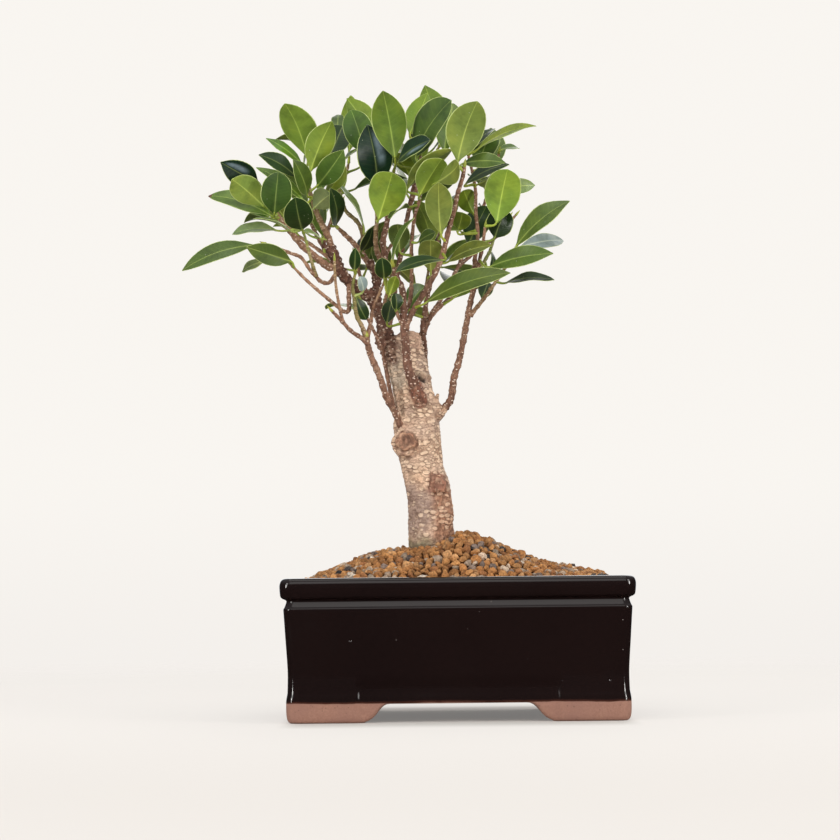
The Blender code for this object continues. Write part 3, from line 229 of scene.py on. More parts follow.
# Limbs of each branch, whose node is named branch_ and the key: points, the radius at the first and
# last, and how young the wood is, from 0 for rough brown bark to 1 for a green shoot
BRANCHES = {
    "right": {
        "main": (((-12, 0, 175), (-8, -1, 178), (-2, -2, 185), (0, -4, 197), (3, -6, 207), (6, -8, 220),
                  (9, -10, 236), (12, -12, 249), (14.5, -14, 260)), 2.2, 1.5, 0.1),
        "fork": (((10, -10, 234), (15, -14, 239.5), (21, -19, 247), (29, -26, 258), (34, -30, 266),
                  (37, -33, 272)), 1.3, 0.8, 0.5),
        "stem_a": (((13, -13, 254), (13, -11, 266), (15, -8, 281), (14, -7, 295), (14, -6, 308),
                    (12, -8, 320), (10, -7, 329)), 1.3, 0.8, 0.25),
        "stem_b": (((13.5, -13, 257), (17, -22, 271), (18, -26, 277), (19, -30, 284)), 1.2, 0.8, 0.2),
        "stem_c": (((13.5, -13, 257), (21, -6, 270), (23, 0, 275), (26, 5, 283), (34, 8, 294)),
                   1, 0.8, 1),
    },
    "front": {
        "main": (((-20, -8, 184), (-22, -14, 190), (-25, -17.5, 197), (-27, -19, 204), (-28, -19.5, 216),
                  (-29, -21, 228), (-29, -23, 239), (-30, -26, 249), (-34, -30, 256), (-35, -33, 261)),
                 3, 1.4, 0),
        "right": (((-28.5, -20.5, 225), (-25, -21, 233), (-19, -22, 243), (-11, -24, 256),
                   (-6, -26, 268), (-2, -30, 283), (1, -34, 293), (3, -38, 302), (6, -42, 311),
                   (7, -44, 317)), 1.8, 1.1, 0.15),
        "left": (((-29, -21, 227), (-32, -24, 232), (-34, -28, 238), (-38, -32, 245)), 1, 0.8, 0.2),
        "inner": (((-29, -22, 234), (-25, -17, 243), (-24, -15, 261), (-24, -16, 275), (-22, -21, 291),
                   (-19, -25, 301), (-19, -24, 316), (-18, -22, 327)), 1.3, 0.8, 0.2),
    },
    "left": {
        "main": (((-28, -5, 163), (-31, -10, 168), (-34.5, -13, 177), (-39, -16, 185), (-42, -18, 194),
                  (-45, -20, 202), (-48, -22, 209), (-49.5, -24, 214), (-51, -26, 221)), 2, 1.7, 0.1),
        "inner": (((-50.5, -25, 218), (-53, -28, 226), (-56, -31, 232), (-57, -34, 239), (-58, -37, 248),
                   (-56, -41, 258)), 1.4, 0.8, 0.6),
        "bare": (((-50.5, -25, 219), (-48, -22, 230), (-47, -20, 237), (-43, -22, 246), (-39, -24, 255)),
                 1.2, 0.7, 0.35),
        "low": (((-50, -25, 217), (-54, -28, 220), (-59, -33, 223), (-64, -38, 228), (-67, -42, 231),
                 (-70, -45, 234)), 1.4, 0.9, 0.15),
        "rise": (((-64, -38, 228), (-65, -40, 233), (-67, -43, 244), (-68, -47, 255), (-68, -50, 263)),
                 1, 0.7, 0.4),
    },
    "thin": {
        "main": (((-31, -4, 174), (-34.6, -5, 179), (-36.4, -6, 184), (-38.2, -6.5, 194.5), (-40.2, -7, 205),
                  (-42, -8.5, 215), (-45.5, -11, 223), (-50, -14, 232), (-54, -13, 243)), 1.4, 0.8, 0.1),
    },
    "long_left": {
        "main": (((-61, -5, 255), (-61, -12, 244), (-61, -16, 237), (-64, -20, 236), (-68, -24, 239),
                  (-78, -30, 247), (-86, -35, 254), (-94, -40, 262)), 1.4, 0.8, 0.3),
    },
    "far_left": {
        "main": (((-67, -8, 262), (-72, -13, 254), (-77, -16, 254), (-80, -18, 257), (-83, -21, 260),
                  (-88, -25, 267), (-93, -28, 269), (-102, -33, 272), (-108, -36, 274)), 1.3, 0.8, 0.3),
        "rise": (((-80, -18, 257), (-83, -24, 268), (-85, -28, 276), (-87, -32, 283)), 1, 0.7, 0.7),
    },
    "upper_left": {
        "main": (((-67, -8, 265), (-72, -11, 263), (-78, -14, 267), (-83, -17, 271), (-89, -20, 276),
                  (-96, -24, 285), (-105, -28, 296), (-110, -33, 305)), 2.4, 1.3, 0.35),
    },
    "left_top": {
        "main": (((-70.5, -7, 272), (-72, -6, 278), (-74, -4, 284), (-77, -2, 290), (-80, -3, 297),
                  (-82, -6, 303), (-84, -10, 310), (-86, -15, 317)), 2.2, 1, 0.45),
        "twig": (((-73, -5, 281), (-73, -1, 287), (-69, 2, 295), (-65, 5, 304)), 1, 0.7, 0.3),
    },
    "top": {
        "main": (((-47, 8.5, 264), (-52, 12, 271), (-57, 14, 278), (-61, 16, 283), (-68, 18, 290)),
                 2, 1.2, 0.3),
        "rise": (((-54, 13, 274), (-53, 15, 284), (-56, 18, 293), (-64, 22, 302), (-68, 23, 318),
                  (-69, 24, 330), (-69, 28, 342)), 1.5, 0.8, 0.6),
    },
    "centre": {
        "main": (((-45, 7, 257), (-42, 8, 265), (-40, 8, 271), (-41, 6, 280), (-39, 4, 288),
                  (-37, 1, 300), (-35.5, -4, 311), (-34, -12, 319)), 2.3, 1, 0.05),
        "left": (((-41, 8, 268), (-44, 0, 272), (-45, -6, 277), (-45, -10, 284), (-44, -14, 291),
                  (-45, -15, 301)), 1.6, 1, 0.45),
        "side": (((-40.5, 8, 270), (-37, 11, 277), (-31, 13, 285)), 1.2, 0.8, 0.2),
        "lean": (((-38, 3, 294), (-42, 4, 309), (-46, 7, 326), (-47, 11, 339)), 1.2, 0.8, 0.3),
    },
    "behind_right": {
        "main": (((-18, 9, 203), (-17, 14, 210), (-17, 17, 220), (-18, 19, 229), (-16, 23, 243),
                  (-12, 32, 262), (-9, 44, 280), (-6, 54, 296)), 1.8, 1, 0.05),
        "fork": (((-17.5, 18, 226), (-14, 21, 235), (-11, 24, 241), (-7, 27, 247), (4, 34, 268),
                  (12, 39, 288), (21, 36, 308), (27, 28, 326), (29, 23, 335)), 1.4, 0.8, 0.15),
        "reach": (((4, 34, 268), (16, 46, 279), (30, 55, 290), (40, 58, 302)), 1.1, 0.8, 0.3),
    },
    "back": {
        "main": (((-36, 6, 216), (-38, 13, 224), (-37, 22, 238), (-33, 29, 262), (-28, 32, 290),
                  (-22, 31, 318), (-17, 30, 334), (-14, 32, 346)), 2, 0.9, 0.1),
        "fork": (((-24, 31.5, 308), (-15, 24, 324), (-7, 17, 338)), 1.1, 0.8, 0.3),
        "reach": (((-30, 31, 278), (-26, 44, 300), (-22, 54, 318), (-20, 56, 334)), 1.2, 0.8, 0.3),
    },
    "back_left": {
        "main": (((-56, -1, 251), (-62, 8, 256), (-68, 20, 265), (-76, 33, 278), (-84, 44, 294),
                  (-88, 50, 308)), 1.8, 0.9, 0.2),
        "fork": (((-73, 29, 273), (-88, 30, 284), (-103, 30, 294)), 1.2, 0.8, 0.4),
        "rise": (((-78, 36, 282), (-72, 46, 300), (-66, 52, 318), (-62, 50, 334)), 1.2, 0.8, 0.4),
    },
    "back_low": {
        "main": (((-30, 7, 208), (-35, 14, 215), (-42, 24, 229), (-49, 33, 245), (-55, 40, 262),
                  (-59, 46, 278)), 1.8, 0.9, 0.2),
        "fork": (((-44, 27, 234), (-40, 38, 250), (-36, 47, 268)), 1.2, 0.8, 0.4),
    },
    "back_right": {
        "main": (((-25, 8, 203), (-23, 14, 211), (-19, 26, 226), (-11, 36, 240), (4, 44, 254),
                  (20, 48, 264)), 1.8, 0.9, 0.2),
        "fork": (((-15, 31, 233), (-16, 44, 252), (-14, 52, 268)), 1.2, 0.8, 0.4),
    },
}

# Leaves read for each branch: base and tip, the blade's width, how far it is turned from
# showing its upper face to the front, in degrees, and its tone
LEAVES = {
    "left_top": (
        ((-84.5, -12, 328), (-96.5, -34, 356), 22, 150, "light"),
        ((-82.5, -20, 318.5), (-69.5, -30, 346), 17, 200, "light"),
        ((-87.5, -13, 323.5), (-109, -8, 340), 7, 30, "light"),
        ((-91, -20, 315), (-112, -32, 326.5), 12.5, 35, "dark"),
        ((-86.5, -18, 301), (-114.5, -16, 321.5), 9.5, 38, "light"),
        ((-85, -14, 305), (-92, -24, 323), 14, 20, "mid"),
        ((-81.5, -8, 298), (-70.5, -20, 305), 14, 200, "pale"),
        ((-79, -12, 311), (-63, -20, 330), 15, 15, "mid"),
        ((-79, 0, 307), (-64, 6, 328), 15, -60, "light"),
        ((-75, -2, 306.5), (-64.5, 8, 329.5), 11, 150, "yellow"),
        ((-69, 0, 288.5), (-71, -6, 307.5), 13, 45, "dark"),
        ((-77, -8, 280), (-87, -14, 284), 8, 70, "pale"),
    ),
    "upper_left": (
        ((-112.5, -36, 310.5), (-132.5, -54, 319), 14.5, -12, "gloss"),
        ((-109, -34, 296), (-126, -50, 309), 17, 165, "milky"),
        ((-105, -30, 291), (-142, -33, 304), 17, 62, "dry"),
        ((-107, -21, 291), (-121, -14, 302), 13, 30, "light"),
        ((-103, -38, 291), (-100, -48, 314), 18, 10, "deep"),
    ),
    "far_left": (
        ((-87, -36, 282), (-90, -56, 298), 17, 0, "dark"),
        ((-114, -38, 273), (-156, -40, 258.5), 14, 36, "mid"),
        ((-109, -26, 265), (-123, -18, 260), 8, 40, "pale"),
        ((-102, -26, 283), (-128, -26, 281), 16, 60, "pale"),
        ((-93, -36, 281), (-115, -40, 288), 14, 60, "pale"),
    ),
    "long_left": (
        ((-93, -42, 263), (-118, -54, 270), 12.5, -12, "mid"),
    ),
    "top": (
        ((-52.5, 14, 290.5), (-74, 26, 320.5), 12, 72, "pale"),
        ((-73, 20, 333), (-65, 28, 353), 16, 0, "dark"),
        ((-68.5, 27, 347.5), (-68, 36, 363), 8, 0, "mid"),
        ((-54, 4, 274), (-47, -6, 287), 12, 50, "dark"),
    ),
    "centre": (
        ((-46, 14, 344), (-62, 24, 369), 16, 160, "bright"),
        ((-51, 0, 331), (-59, 2, 358), 17.5, 0, "fresh"),
        ((-43.5, -14, 309.5), (-49, -26, 344.5), 21.5, 10, "gloss"),
        ((-33, -26, 324.5), (-39.5, -44, 361), 20.5, 180, "fresh"),
        ((-43, -24, 289), (-34.5, -46, 313), 22, 180, "light"),
    ),
    "back": (
        ((-24.5, 24, 347), (-13.5, 34, 373.5), 16, 180, "bright"),
        ((-6, 30, 350), (-15, 38, 379), 18, 180, "bright"),
        ((-4, 10, 333.5), (-1, 16, 357.5), 14, 10, "bright"),
        ((-0.5, 20, 351), (2, 28, 366), 10, 0, "mid"),
    ),
    "front": (
        ((-21, -20, 326), (0, -34, 356), 27, -47, "deep"),
        ((-31.5, -30.5, 321.5), (-12.5, -44, 332), 16, -48, "gloss"),
        ((3, -46, 319), (14.5, -60, 351.5), 22.5, 195, "olive"),
        ((6.5, -30, 320.5), (30.5, -44, 318.5), 10, -20, "mid"),
        ((-19, -34, 301.5), (-6, -48, 320.5), 17, -150, "light"),
        ((-26.5, -28, 306), (0.5, -26, 326.5), 16, -120, "milky"),
        ((-8.5, -38, 308.5), (3.5, -52, 315.5), 13, 160, "olive"),
        ((-7, -34, 279), (-8, -54, 306), 16, 180, "olive"),
        ((-16, -30, 239.5), (32.5, -46, 254.5), 17.5, -42, "mid"),
        ((-3, -22, 264), (22.5, -34, 272), 13, -45, "olive"),
        ((-6, -40, 263), (-33, -52, 255), 14, 55, "dark"),
        ((-13, -16, 259), (-13, -30, 276), 14.5, 180, "olive"),
        ((-25, -29, 295.5), (-36, -38, 287), 12, 80, "dark"),
        ((-31, -16, 271), (-32, -26, 286), 13, 170, "dark"),
        ((-35, -34, 263), (-22, -38, 288), 14, -75, "mid"),
        ((-20, -20, 276), (-10, -30, 281), 8, -30, "mid"),
        ((-40, -36, 253), (-41, -46, 264), 10, 0, "dark"),
        ((-37, -34, 243.5), (-33, -44, 253.5), 7, 180, "bright"),
        ((-39, -14, 229), (-36, -10, 243), 9, 0, "dark"),
        ((-33.5, -31, 235), (-34, -23, 245), 9, 20, "dark"),
    ),
    "right": (
        ((15, -10, 331.5), (50, -12, 345), 14, -60, "yellow"),
        ((13, 0, 333.5), (26.5, 8, 347), 12, -55, "dark"),
        ((16.5, 0, 323.5), (24.5, 2, 344.5), 17, 0, "mid"),
        ((7.5, -16, 310), (33.5, -24, 320.5), 14, -52, "dark"),
        ((15, -10, 311), (26, -30, 317), 10, 130, "olive"),
        ((25.5, -36, 285), (31.5, -52, 313.5), 21, 180, "light"),
        ((29, 13, 312), (50, 16, 314), 9.5, 0, "pale"),
        ((24.5, -24, 277.5), (31.5, -40, 293), 16, -10, "dark"),
        ((9.5, 4, 276.5), (21, 10, 301), 17, -20, "dark"),
        ((3, -2, 284), (6, -14, 294), 12, 180, "bright"),
        ((13, 2, 295), (7, -8, 308), 12, 180, "bright"),
        ((36.5, -36, 271), (67.5, -40, 296.5), 20, -50, "mid"),
        ((38.5, -28, 271.5), (65.5, -4, 278), 10.5, -25, "steel"),
        ((21.5, -30, 260), (57, -40, 265), 14, -48, "mid"),
        ((30, -24, 251), (58.5, -30, 252), 12, -58, "dark"),
        ((6, -12, 282), (-1, -26, 282), 8, 60, "mid"),
        ((17, -10, 243), (21, -2, 254), 9, 0, "dark"),
        ((22, 2, 261), (24, 10, 273), 9, 60, "dark"),
    ),
    "behind_right": (
        ((-26, 12, 241), (-16, 6, 253), 14, -30, "mid"),
        ((30, 20, 336), (41, 26, 338), 10, -60, "mid"),
    ),
    "left": (
        ((-57, -44, 257), (-56, -54, 269), 7, 0, "dark"),
        ((-52, -34, 246), (-54, -40, 254), 7, 30, "steel"),
    ),
    "thin": (
        ((-56.5, -20, 244), (-50.5, -20, 231), 9, 20, "dark"),
    ),
}

# Shoots that bear leaves in a spiral: limb, number of leaf places, first angle in degrees, and
# the places, counted from the tip, whose leaf has fallen
SPRAYS = (
    ("behind_right", "main", 6, 40, (3,)),
    ("behind_right", "fork", 5, 200, (0, 2)),
    ("behind_right", "reach", 6, 170, (0, 2, 4, 5)),
    ("back", "main", 5, 170, (1,)),
    ("back", "reach", 6, 10, ()),
    ("back_left", "main", 6, 300, ()),
    ("back_left", "fork", 6, 290, (1, 3, 4)),
    ("back_left", "rise", 6, 330, ()),
    ("back_low", "main", 6, 220, (5,)),
    ("back_low", "fork", 6, 50, (4,)),
    ("back_right", "main", 6, 30, (1, 2, 3)),
    ("back_right", "fork", 6, 140, (4,)),
    ("top", "rise", 3, 40, (0,)),
    ("thin", "main", 3, 250, (0,)),
)
PLACE_SEED = 7
SPIRAL_TURN = math.radians(137.5)
SPRAY_STEP = 6.5
# Limits of a leaf's length, of its width as a share of that, of its pitch in degrees and of its stalk
SPRAY_DRAWS = ((25, 36), (0.46, 0.56), (35, 70), (6, 10))
SPRAY_TONES = ("mid", "dark", "light", "mid", "olive", "dark", "bright", "gloss")
# How a leaf may be swung clear of its neighbours: tip moved in depth, and turned, in degrees
SWINGS = (
    (0, 0), (-5, 0), (5, 0), (-10, 0), (10, 0), (0, 20), (0, -20), (-10, 20), (10, -20), (-15, 0), (15, 0),
    (-20, 0), (20, 0), (-15, 35), (15, -35), (-26, 0), (26, 0),
)
SPRAY_SWINGS = (0, 25, -25, 50, -50, 75)
# Half the plain leaf's thickness, by which its two tip corners stand off the tip, and how near a
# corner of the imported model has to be
PLAIN_HALF = 0.35
SAME_PLACE = 0.06

# The finer leaf: place from base to tip, and the half width there as a share of the widest
BLADE_OUTLINE = (
    (0.00, 0.07), (0.05, 0.17), (0.12, 0.39), (0.22, 0.68), (0.33, 0.88), (0.44, 0.98), (0.53, 1),
    (0.63, 0.96), (0.73, 0.845), (0.82, 0.67), (0.89, 0.47), (0.94, 0.285), (0.975, 0.14), (1, 0.02),
)
# How much wider each station is on a leaf with a blunt end, and the shape from which an end is blunt
BLUNT_MORE = (0, 0, 0, 0, 0, 0.01, 0, 0.03, 0.09, 0.16, 0.2, 0.2, 0.13, 0)
BLUNT_FROM = (0.575, 0.65)
BLADE_COLUMNS = (-1, -0.96, -0.82, -0.6, -0.38, -0.18, -0.06, 0, 0.06, 0.18, 0.38, 0.6, 0.82, 0.96, 1)
BLADE_FOLD = 0.16
BLADE_ARCH = 0.09
BLADE_THICKNESS = 0.42
RIB_HEIGHT = 0.38
STALK_RADIUS = 0.68
STALK_SIDES = 8
STALK_STEPS = 9
BUD_PROFILE = ((0, 0.9), (0.25, 1.05), (0.55, 0.75), (0.8, 0.4), (1, 0.05))

# Tone of a leaf: colour of its upper face and of its under face, as 0 to 255
TONES = {
    "light": ((84, 118, 32), (119, 142, 46)),
    "yellow": ((110, 130, 24), (124, 144, 36)),
    "bright": ((72, 98, 20), (98, 124, 26)),
    "fresh": ((62, 98, 26), (96, 120, 34)),
    "milky": ((118, 144, 62), (132, 150, 66)),
    "deep": ((60, 88, 34), (90, 114, 38)),
    "mid": ((70, 94, 34), (98, 122, 40)),
    "dark": ((28, 52, 18), (72, 92, 30)),
    "gloss": ((10, 38, 24), (60, 84, 34)),
    "olive": ((82, 96, 30), (112, 130, 54)),
    "pale": ((112, 134, 78), (132, 146, 98)),
    "steel": ((130, 148, 150), (136, 152, 150)),
    "dry": ((92, 118, 36), (112, 132, 48)),
}
TONE_SPREAD = (0.92, 1.08)
# How glossy each tone's upper face is: it lowers the roughness, and the glossiest tone also gets a painted
# sheen
GLOSSY = {"gloss": 1.25, "dark": 1.1, "deep": 1.2}
STALK_COLOUR = (160, 178, 70)
BUD_COLOUR = (150, 158, 66)
OLD_BARK = (122, 82, 66)
TAN_BARK = (168, 128, 100)
YOUNG_BARK = (136, 150, 70)

# The stage, in metres
FLOOR_RADIUS = 1.25
FLOOR_FADE = (0.55, 1.15)
BACKDROP = (249, 245.5, 240.5)
BACKDROP_LOW = (244, 240, 235.5)
LAMP_AIM = Vector((0, 0, 0.2))
LAMP_COLOUR = (1, 0.98, 0.95)
# Each lamp's place, width and height, and power in watts. The dull one doesn't show in reflections
LAMPS = (
    ("overhead", (0, -0.2, 1.9), (1.4, 1.2), 5),
    ("front_above", (0, -1.9, 1.5), (1.8, 1), 6),
    ("front_above_dull", (0, -1.9, 1.5), (1.8, 1), 19.5),
    ("front_left", (-1.35, -1.2, 0.75), (0.5, 1), 8),
    ("front_right", (1.35, -1.1, 0.75), (0.5, 1), 8),
    ("spark_left", (-1.25, -1, 0.3), (0.1, 0.45), 5),
    ("spark_right", (1.25, -1, 0.3), (0.1, 0.45), 5),
    ("back", (0.3, 1.5, 1.1), (1.2, 0.8), 5),
)


# Small helpers

def srgb(colour):
    """A colour of 0 to 255 as linear light."""
    shares = [value / 255 for value in colour]
    return tuple(c / 12.92 if c <= 0.04045 else ((c + 0.055) / 1.055) ** 2.4 for c in shares)


def smoothstep(low, high, value):
    share = min(max((value - low) / (high - low), 0.0), 1.0)
    return share * share * (3 - 2 * share)


def lerp(a, b, share):
    return a + (b - a) * share


def between(table, value):
    """Reads a table of rising (place, result) rows at a place in between."""
    if value <= table[0][0]:
        return table[0][1]
    for (x0, y0), (x1, y1) in zip(table, table[1:]):
        if value <= x1:
            return lerp(y0, y1, (value - x0) / (x1 - x0))
    return table[-1][1]


def drawn(draw, *limits):
    """A vector of three random draws."""
    return Vector([draw(*limits) for _ in range(3)])


def curve(p0, p1, p2, p3, t):
    """What lies a share t of the way from p1 to p2 on a smooth curve through all four."""
    return 0.5 * (2 * p1 + (p2 - p0) * t + (2 * p0 - 5 * p1 + 4 * p2 - p3) * t * t
                  + (3 * p1 - p0 - 3 * p2 + p3) * t ** 3)


def smooth_route(points, step):
    """A curve through all points, as (place, share of the way) samples about a step apart."""
    points = [Vector(p) for p in points]
    padded = [2 * points[0] - points[1], *points, 2 * points[-1] - points[-2]]
    samples = []
    spans = len(points) - 1
    for i in range(spans):
        near = padded[i:i + 4]
        count = max(2, round((near[2] - near[1]).length / step))
        samples += [(curve(*near, k / count), (i + k / count) / spans) for k in range(count)]
    samples.append((points[-1], 1.0))
    return samples


# Meshes and pieces

def ring_faces(rings, count):
    """Faces between closed rings of count points each."""
    steps = [(r * count, i, (i + 1) % count) for r in range(rings - 1) for i in range(count)]
    return [(low + i, low + j, low + count + j, low + count + i) for low, i, j in steps]


def grid_faces(rows, columns):
    """Faces of an open grid of points."""
    corners = [r * columns + c for r in range(rows - 1) for c in range(columns - 1)]
    return [(a, a + 1, a + columns + 1, a + columns) for a in corners]


def points_and_faces(bm):
    """What a bmesh holds. It is freed."""
    points = [v.co.copy() for v in bm.verts]
    faces = [tuple(v.index for v in face.verts) for face in bm.faces]
    bm.free()
    return points, faces


class Shape:
    """Vertices, faces and per-vertex values that grow into one mesh, in millimetres."""

    def __init__(self):
        self.points = []
        self.faces = []
        self.values = {}

    def add(self, points, faces, **values):
        start = len(self.points)
        self.points += points
        self.faces += [tuple(start + i for i in face) for face in faces]
        for name, rows in values.items():
            self.values.setdefault(name, []).extend(rows)

    def mesh(self, name):
        mesh = bpy.data.meshes.new(name)
        mesh.from_pydata([p * MM + POT_CENTRE for p in self.points], [], self.faces)
        for label, rows in self.values.items():
            write_values(mesh, label, rows)
        bm = bmesh.new()
        bm.from_mesh(mesh)
        bmesh.ops.recalc_face_normals(bm, faces=bm.faces)
        bm.to_mesh(mesh)
        bm.free()
        mesh.shade_smooth()
        return mesh


def write_values(mesh, label, rows):
    """Gives each vertex a colour, in rows of four numbers, or else a vector."""
    kind, field = ("FLOAT_COLOR", "color") if len(rows[0]) == 4 else ("FLOAT_VECTOR", "vector")
    attribute = mesh.attributes.new(label, kind, "POINT")
    attribute.data.foreach_set(field, np.array(rows, np.float32).ravel())


def add_tube(shape, samples, radius_at, sides, wobble=None, values=None):
    """A capped tube along samples of (place, share of the way), with per-vertex values."""
    places = [p for p, _ in samples]
    across = None
    points = []
    shares = []
    for index, (place, share) in enumerate(samples):
        before = places[max(index - 1, 0)]
        after = places[min(index + 1, len(places) - 1)]
        run = (after - before).normalized()
        if across is None:
            across = run.orthogonal()
        across = (across - run * across.dot(run)).normalized()
        other = run.cross(across)
        radius = radius_at(share)
        for side in range(sides):
            angle = 2 * math.pi * side / sides
            out = across * math.cos(angle) + other * math.sin(angle)
            grow = wobble(place, out) if wobble else 0.0
            points.append(place + out * (radius + grow))
            shares.append(share)
    start = len(points)
    faces = ring_faces(len(samples), sides)
    points += [places[0], places[-1]]
    shares += [0.0, 1.0]
    for i in range(sides):
        j = (i + 1) % sides
        faces += [(start, j, i), (start + 1, start - sides + i, start - sides + j)]
    rows = {name: [make(share) for share in shares] for name, make in (values or {}).items()}
    shape.add(points, faces, **rows)


def mesh_of(name, bm):
    """The mesh that a bmesh makes. It is freed."""
    mesh = bpy.data.meshes.new(name)
    bm.to_mesh(mesh)
    bm.free()
    return mesh


def add_object(name, data):
    ob = bpy.data.objects.new(name, data)
    bpy.context.scene.collection.objects.link(ob)
    return ob


def bake_modifiers(ob):
    depsgraph = bpy.context.evaluated_depsgraph_get()
    mesh = bpy.data.meshes.new_from_object(ob.evaluated_get(depsgraph))
    ob.modifiers.clear()
    ob.data = mesh


def piece(name, mesh, material, slot, *replaced):
    """Links a finished mesh as a piece of the object."""
    ob = add_object(name, mesh)
    mesh.materials.clear()
    mesh.materials.append(material)
    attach(ob, "root")
    if replaced:
        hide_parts(*replaced)
    return ob


# Material nodes

class Maker:
    """Builds nodes in the tree of one material, or of the world."""

    def __init__(self, name, store=bpy.data.materials, place="Object"):
        self.owner = store.new(name)
        self.owner.use_nodes = True
        self.tree = self.owner.node_tree
        self.shader = self.tree.nodes.get("Principled BSDF")
        self.place = self.node("TexCoord").outputs[place]

    def node(self, kind, inputs=None, **settings):
        made = self.tree.nodes.new("ShaderNode" + kind)
        for key, value in settings.items():
            setattr(made, key, value)
        for key, value in (inputs or {}).items():
            self.feed(made.inputs[key], value)
        return made

    def feed(self, socket, value):
        if isinstance(value, bpy.types.NodeSocket):
            self.tree.links.new(value, socket)
        elif isinstance(value, tuple) and len(value) == 3 and socket.type == "RGBA":
            socket.default_value = (*value, 1.0)
        else:
            socket.default_value = value

    def math(self, operation, *values):
        return self.node("Math", dict(enumerate(values)), operation=operation).outputs[0]

    plus = partialmethod(math, "ADD")
    less = partialmethod(math, "SUBTRACT")
    times = partialmethod(math, "MULTIPLY")
    over = partialmethod(math, "DIVIDE")
    # The first times the second, plus the third
    scaled = partialmethod(math, "MULTIPLY_ADD")
    size = partialmethod(math, "ABSOLUTE")

    def step(self, value, low, high, to_low=0.0, to_high=1.0):
        """Goes smoothly from to_low to to_high as the value goes from low to high."""
        inputs = {"Value": value, "From Min": low, "From Max": high, "To Min": to_low, "To Max": to_high}
        return self.node("MapRange", inputs, interpolation_type="SMOOTHSTEP").outputs["Result"]

    def fall(self, value, low, high):
        """Goes smoothly from 1 to 0 as the value goes from low to high."""
        return self.step(value, low, high, 1.0, 0.0)

    def mix(self, share, a, b, blend="MIX"):
        """Goes from colour a to colour b. Each is linear light, or a socket."""
        inputs = {0: share, 6: a, 7: b}
        return self.node("Mix", inputs, data_type="RGBA", blend_type=blend, clamp_factor=True).outputs[2]

    def ramp(self, share, a, b):
        """Goes from one colour of 0 to 255 to another."""
        return self.mix(share, srgb(a), srgb(b))

    def paint(self, colour, share, cover):
        """The colour with a share of another over it, given as 0 to 255."""
        return self.mix(share, colour, srgb(cover))

    def stain(self, colour, share, by):
        """The colour darkened by a share of another, given as 0 to 255."""
        return self.mix(share, colour, srgb(by), "MULTIPLY")

    def brighten(self, colour, by):
        return self.mix(1.0, colour, by, "MULTIPLY")

    def blend(self, share, a, b):
        """A plain number between two others."""
        return self.node("Mix", {0: share, 2: a, 3: b}, data_type="FLOAT", clamp_factor=True).outputs[0]

    def shaders(self, share, a, b):
        """A shader between two others."""
        return self.node("MixShader", {0: share, 1: a, 2: b}).outputs[0]

    def stretch(self, scale, place=None):
        return self.node("VectorMath", {0: place or self.place, 1: scale}, operation="MULTIPLY").outputs[0]

    def warp(self, scale, reach):
        """The place, moved about a little by noise."""
        bend = self.node("TexNoise", {"Vector": self.place, "Scale": scale, "Detail": 2.0})
        inputs = {0: bend.outputs["Color"], 1: (reach, reach, reach), 2: self.place}
        return self.node("VectorMath", inputs, operation="MULTIPLY_ADD").outputs[0]

    def noise(self, scale, detail=3.0, rough=0.5, twist=0.0, place=None):
        inputs = {"Vector": place or self.place, "Scale": scale, "Detail": detail, "Roughness": rough,
                  "Distortion": twist}
        return self.node("TexNoise", inputs).outputs["Fac"]

    def cells(self, scale, place=None):
        """Distance to the middle of the nearest cell, and three numbers drawn for that cell."""
        made = self.node("TexVoronoi", {"Vector": place or self.place, "Scale": scale, "Randomness": 1.0})
        return made.outputs["Distance"], self.split(made.outputs["Color"])

    def tint(self):
        """The colour that the mesh gives."""
        return self.node("Attribute", attribute_name="tint").outputs["Color"]

    def values(self, name):
        """Three numbers that the mesh gives."""
        return self.split(self.node("Attribute", attribute_name=name).outputs["Vector"])

    def split(self, vector):
        return self.node("SeparateXYZ", {0: vector}).outputs[0:3]

    def bump(self, height, distance, strength=1.0):
        inputs = {"Height": height, "Distance": distance, "Strength": strength}
        return self.node("Bump", inputs).outputs["Normal"]

    def finish(self, colour, roughness, normal=None, **fixed):
        self.feed(self.shader.inputs["Base Color"], colour)
        self.feed(self.shader.inputs["Roughness"], roughness)
        if normal is not None:
            self.feed(self.shader.inputs["Normal"], normal)
        for key, value in fixed.items():
            self.feed(self.shader.inputs[key.replace("_", " ")], value)
        return self.owner


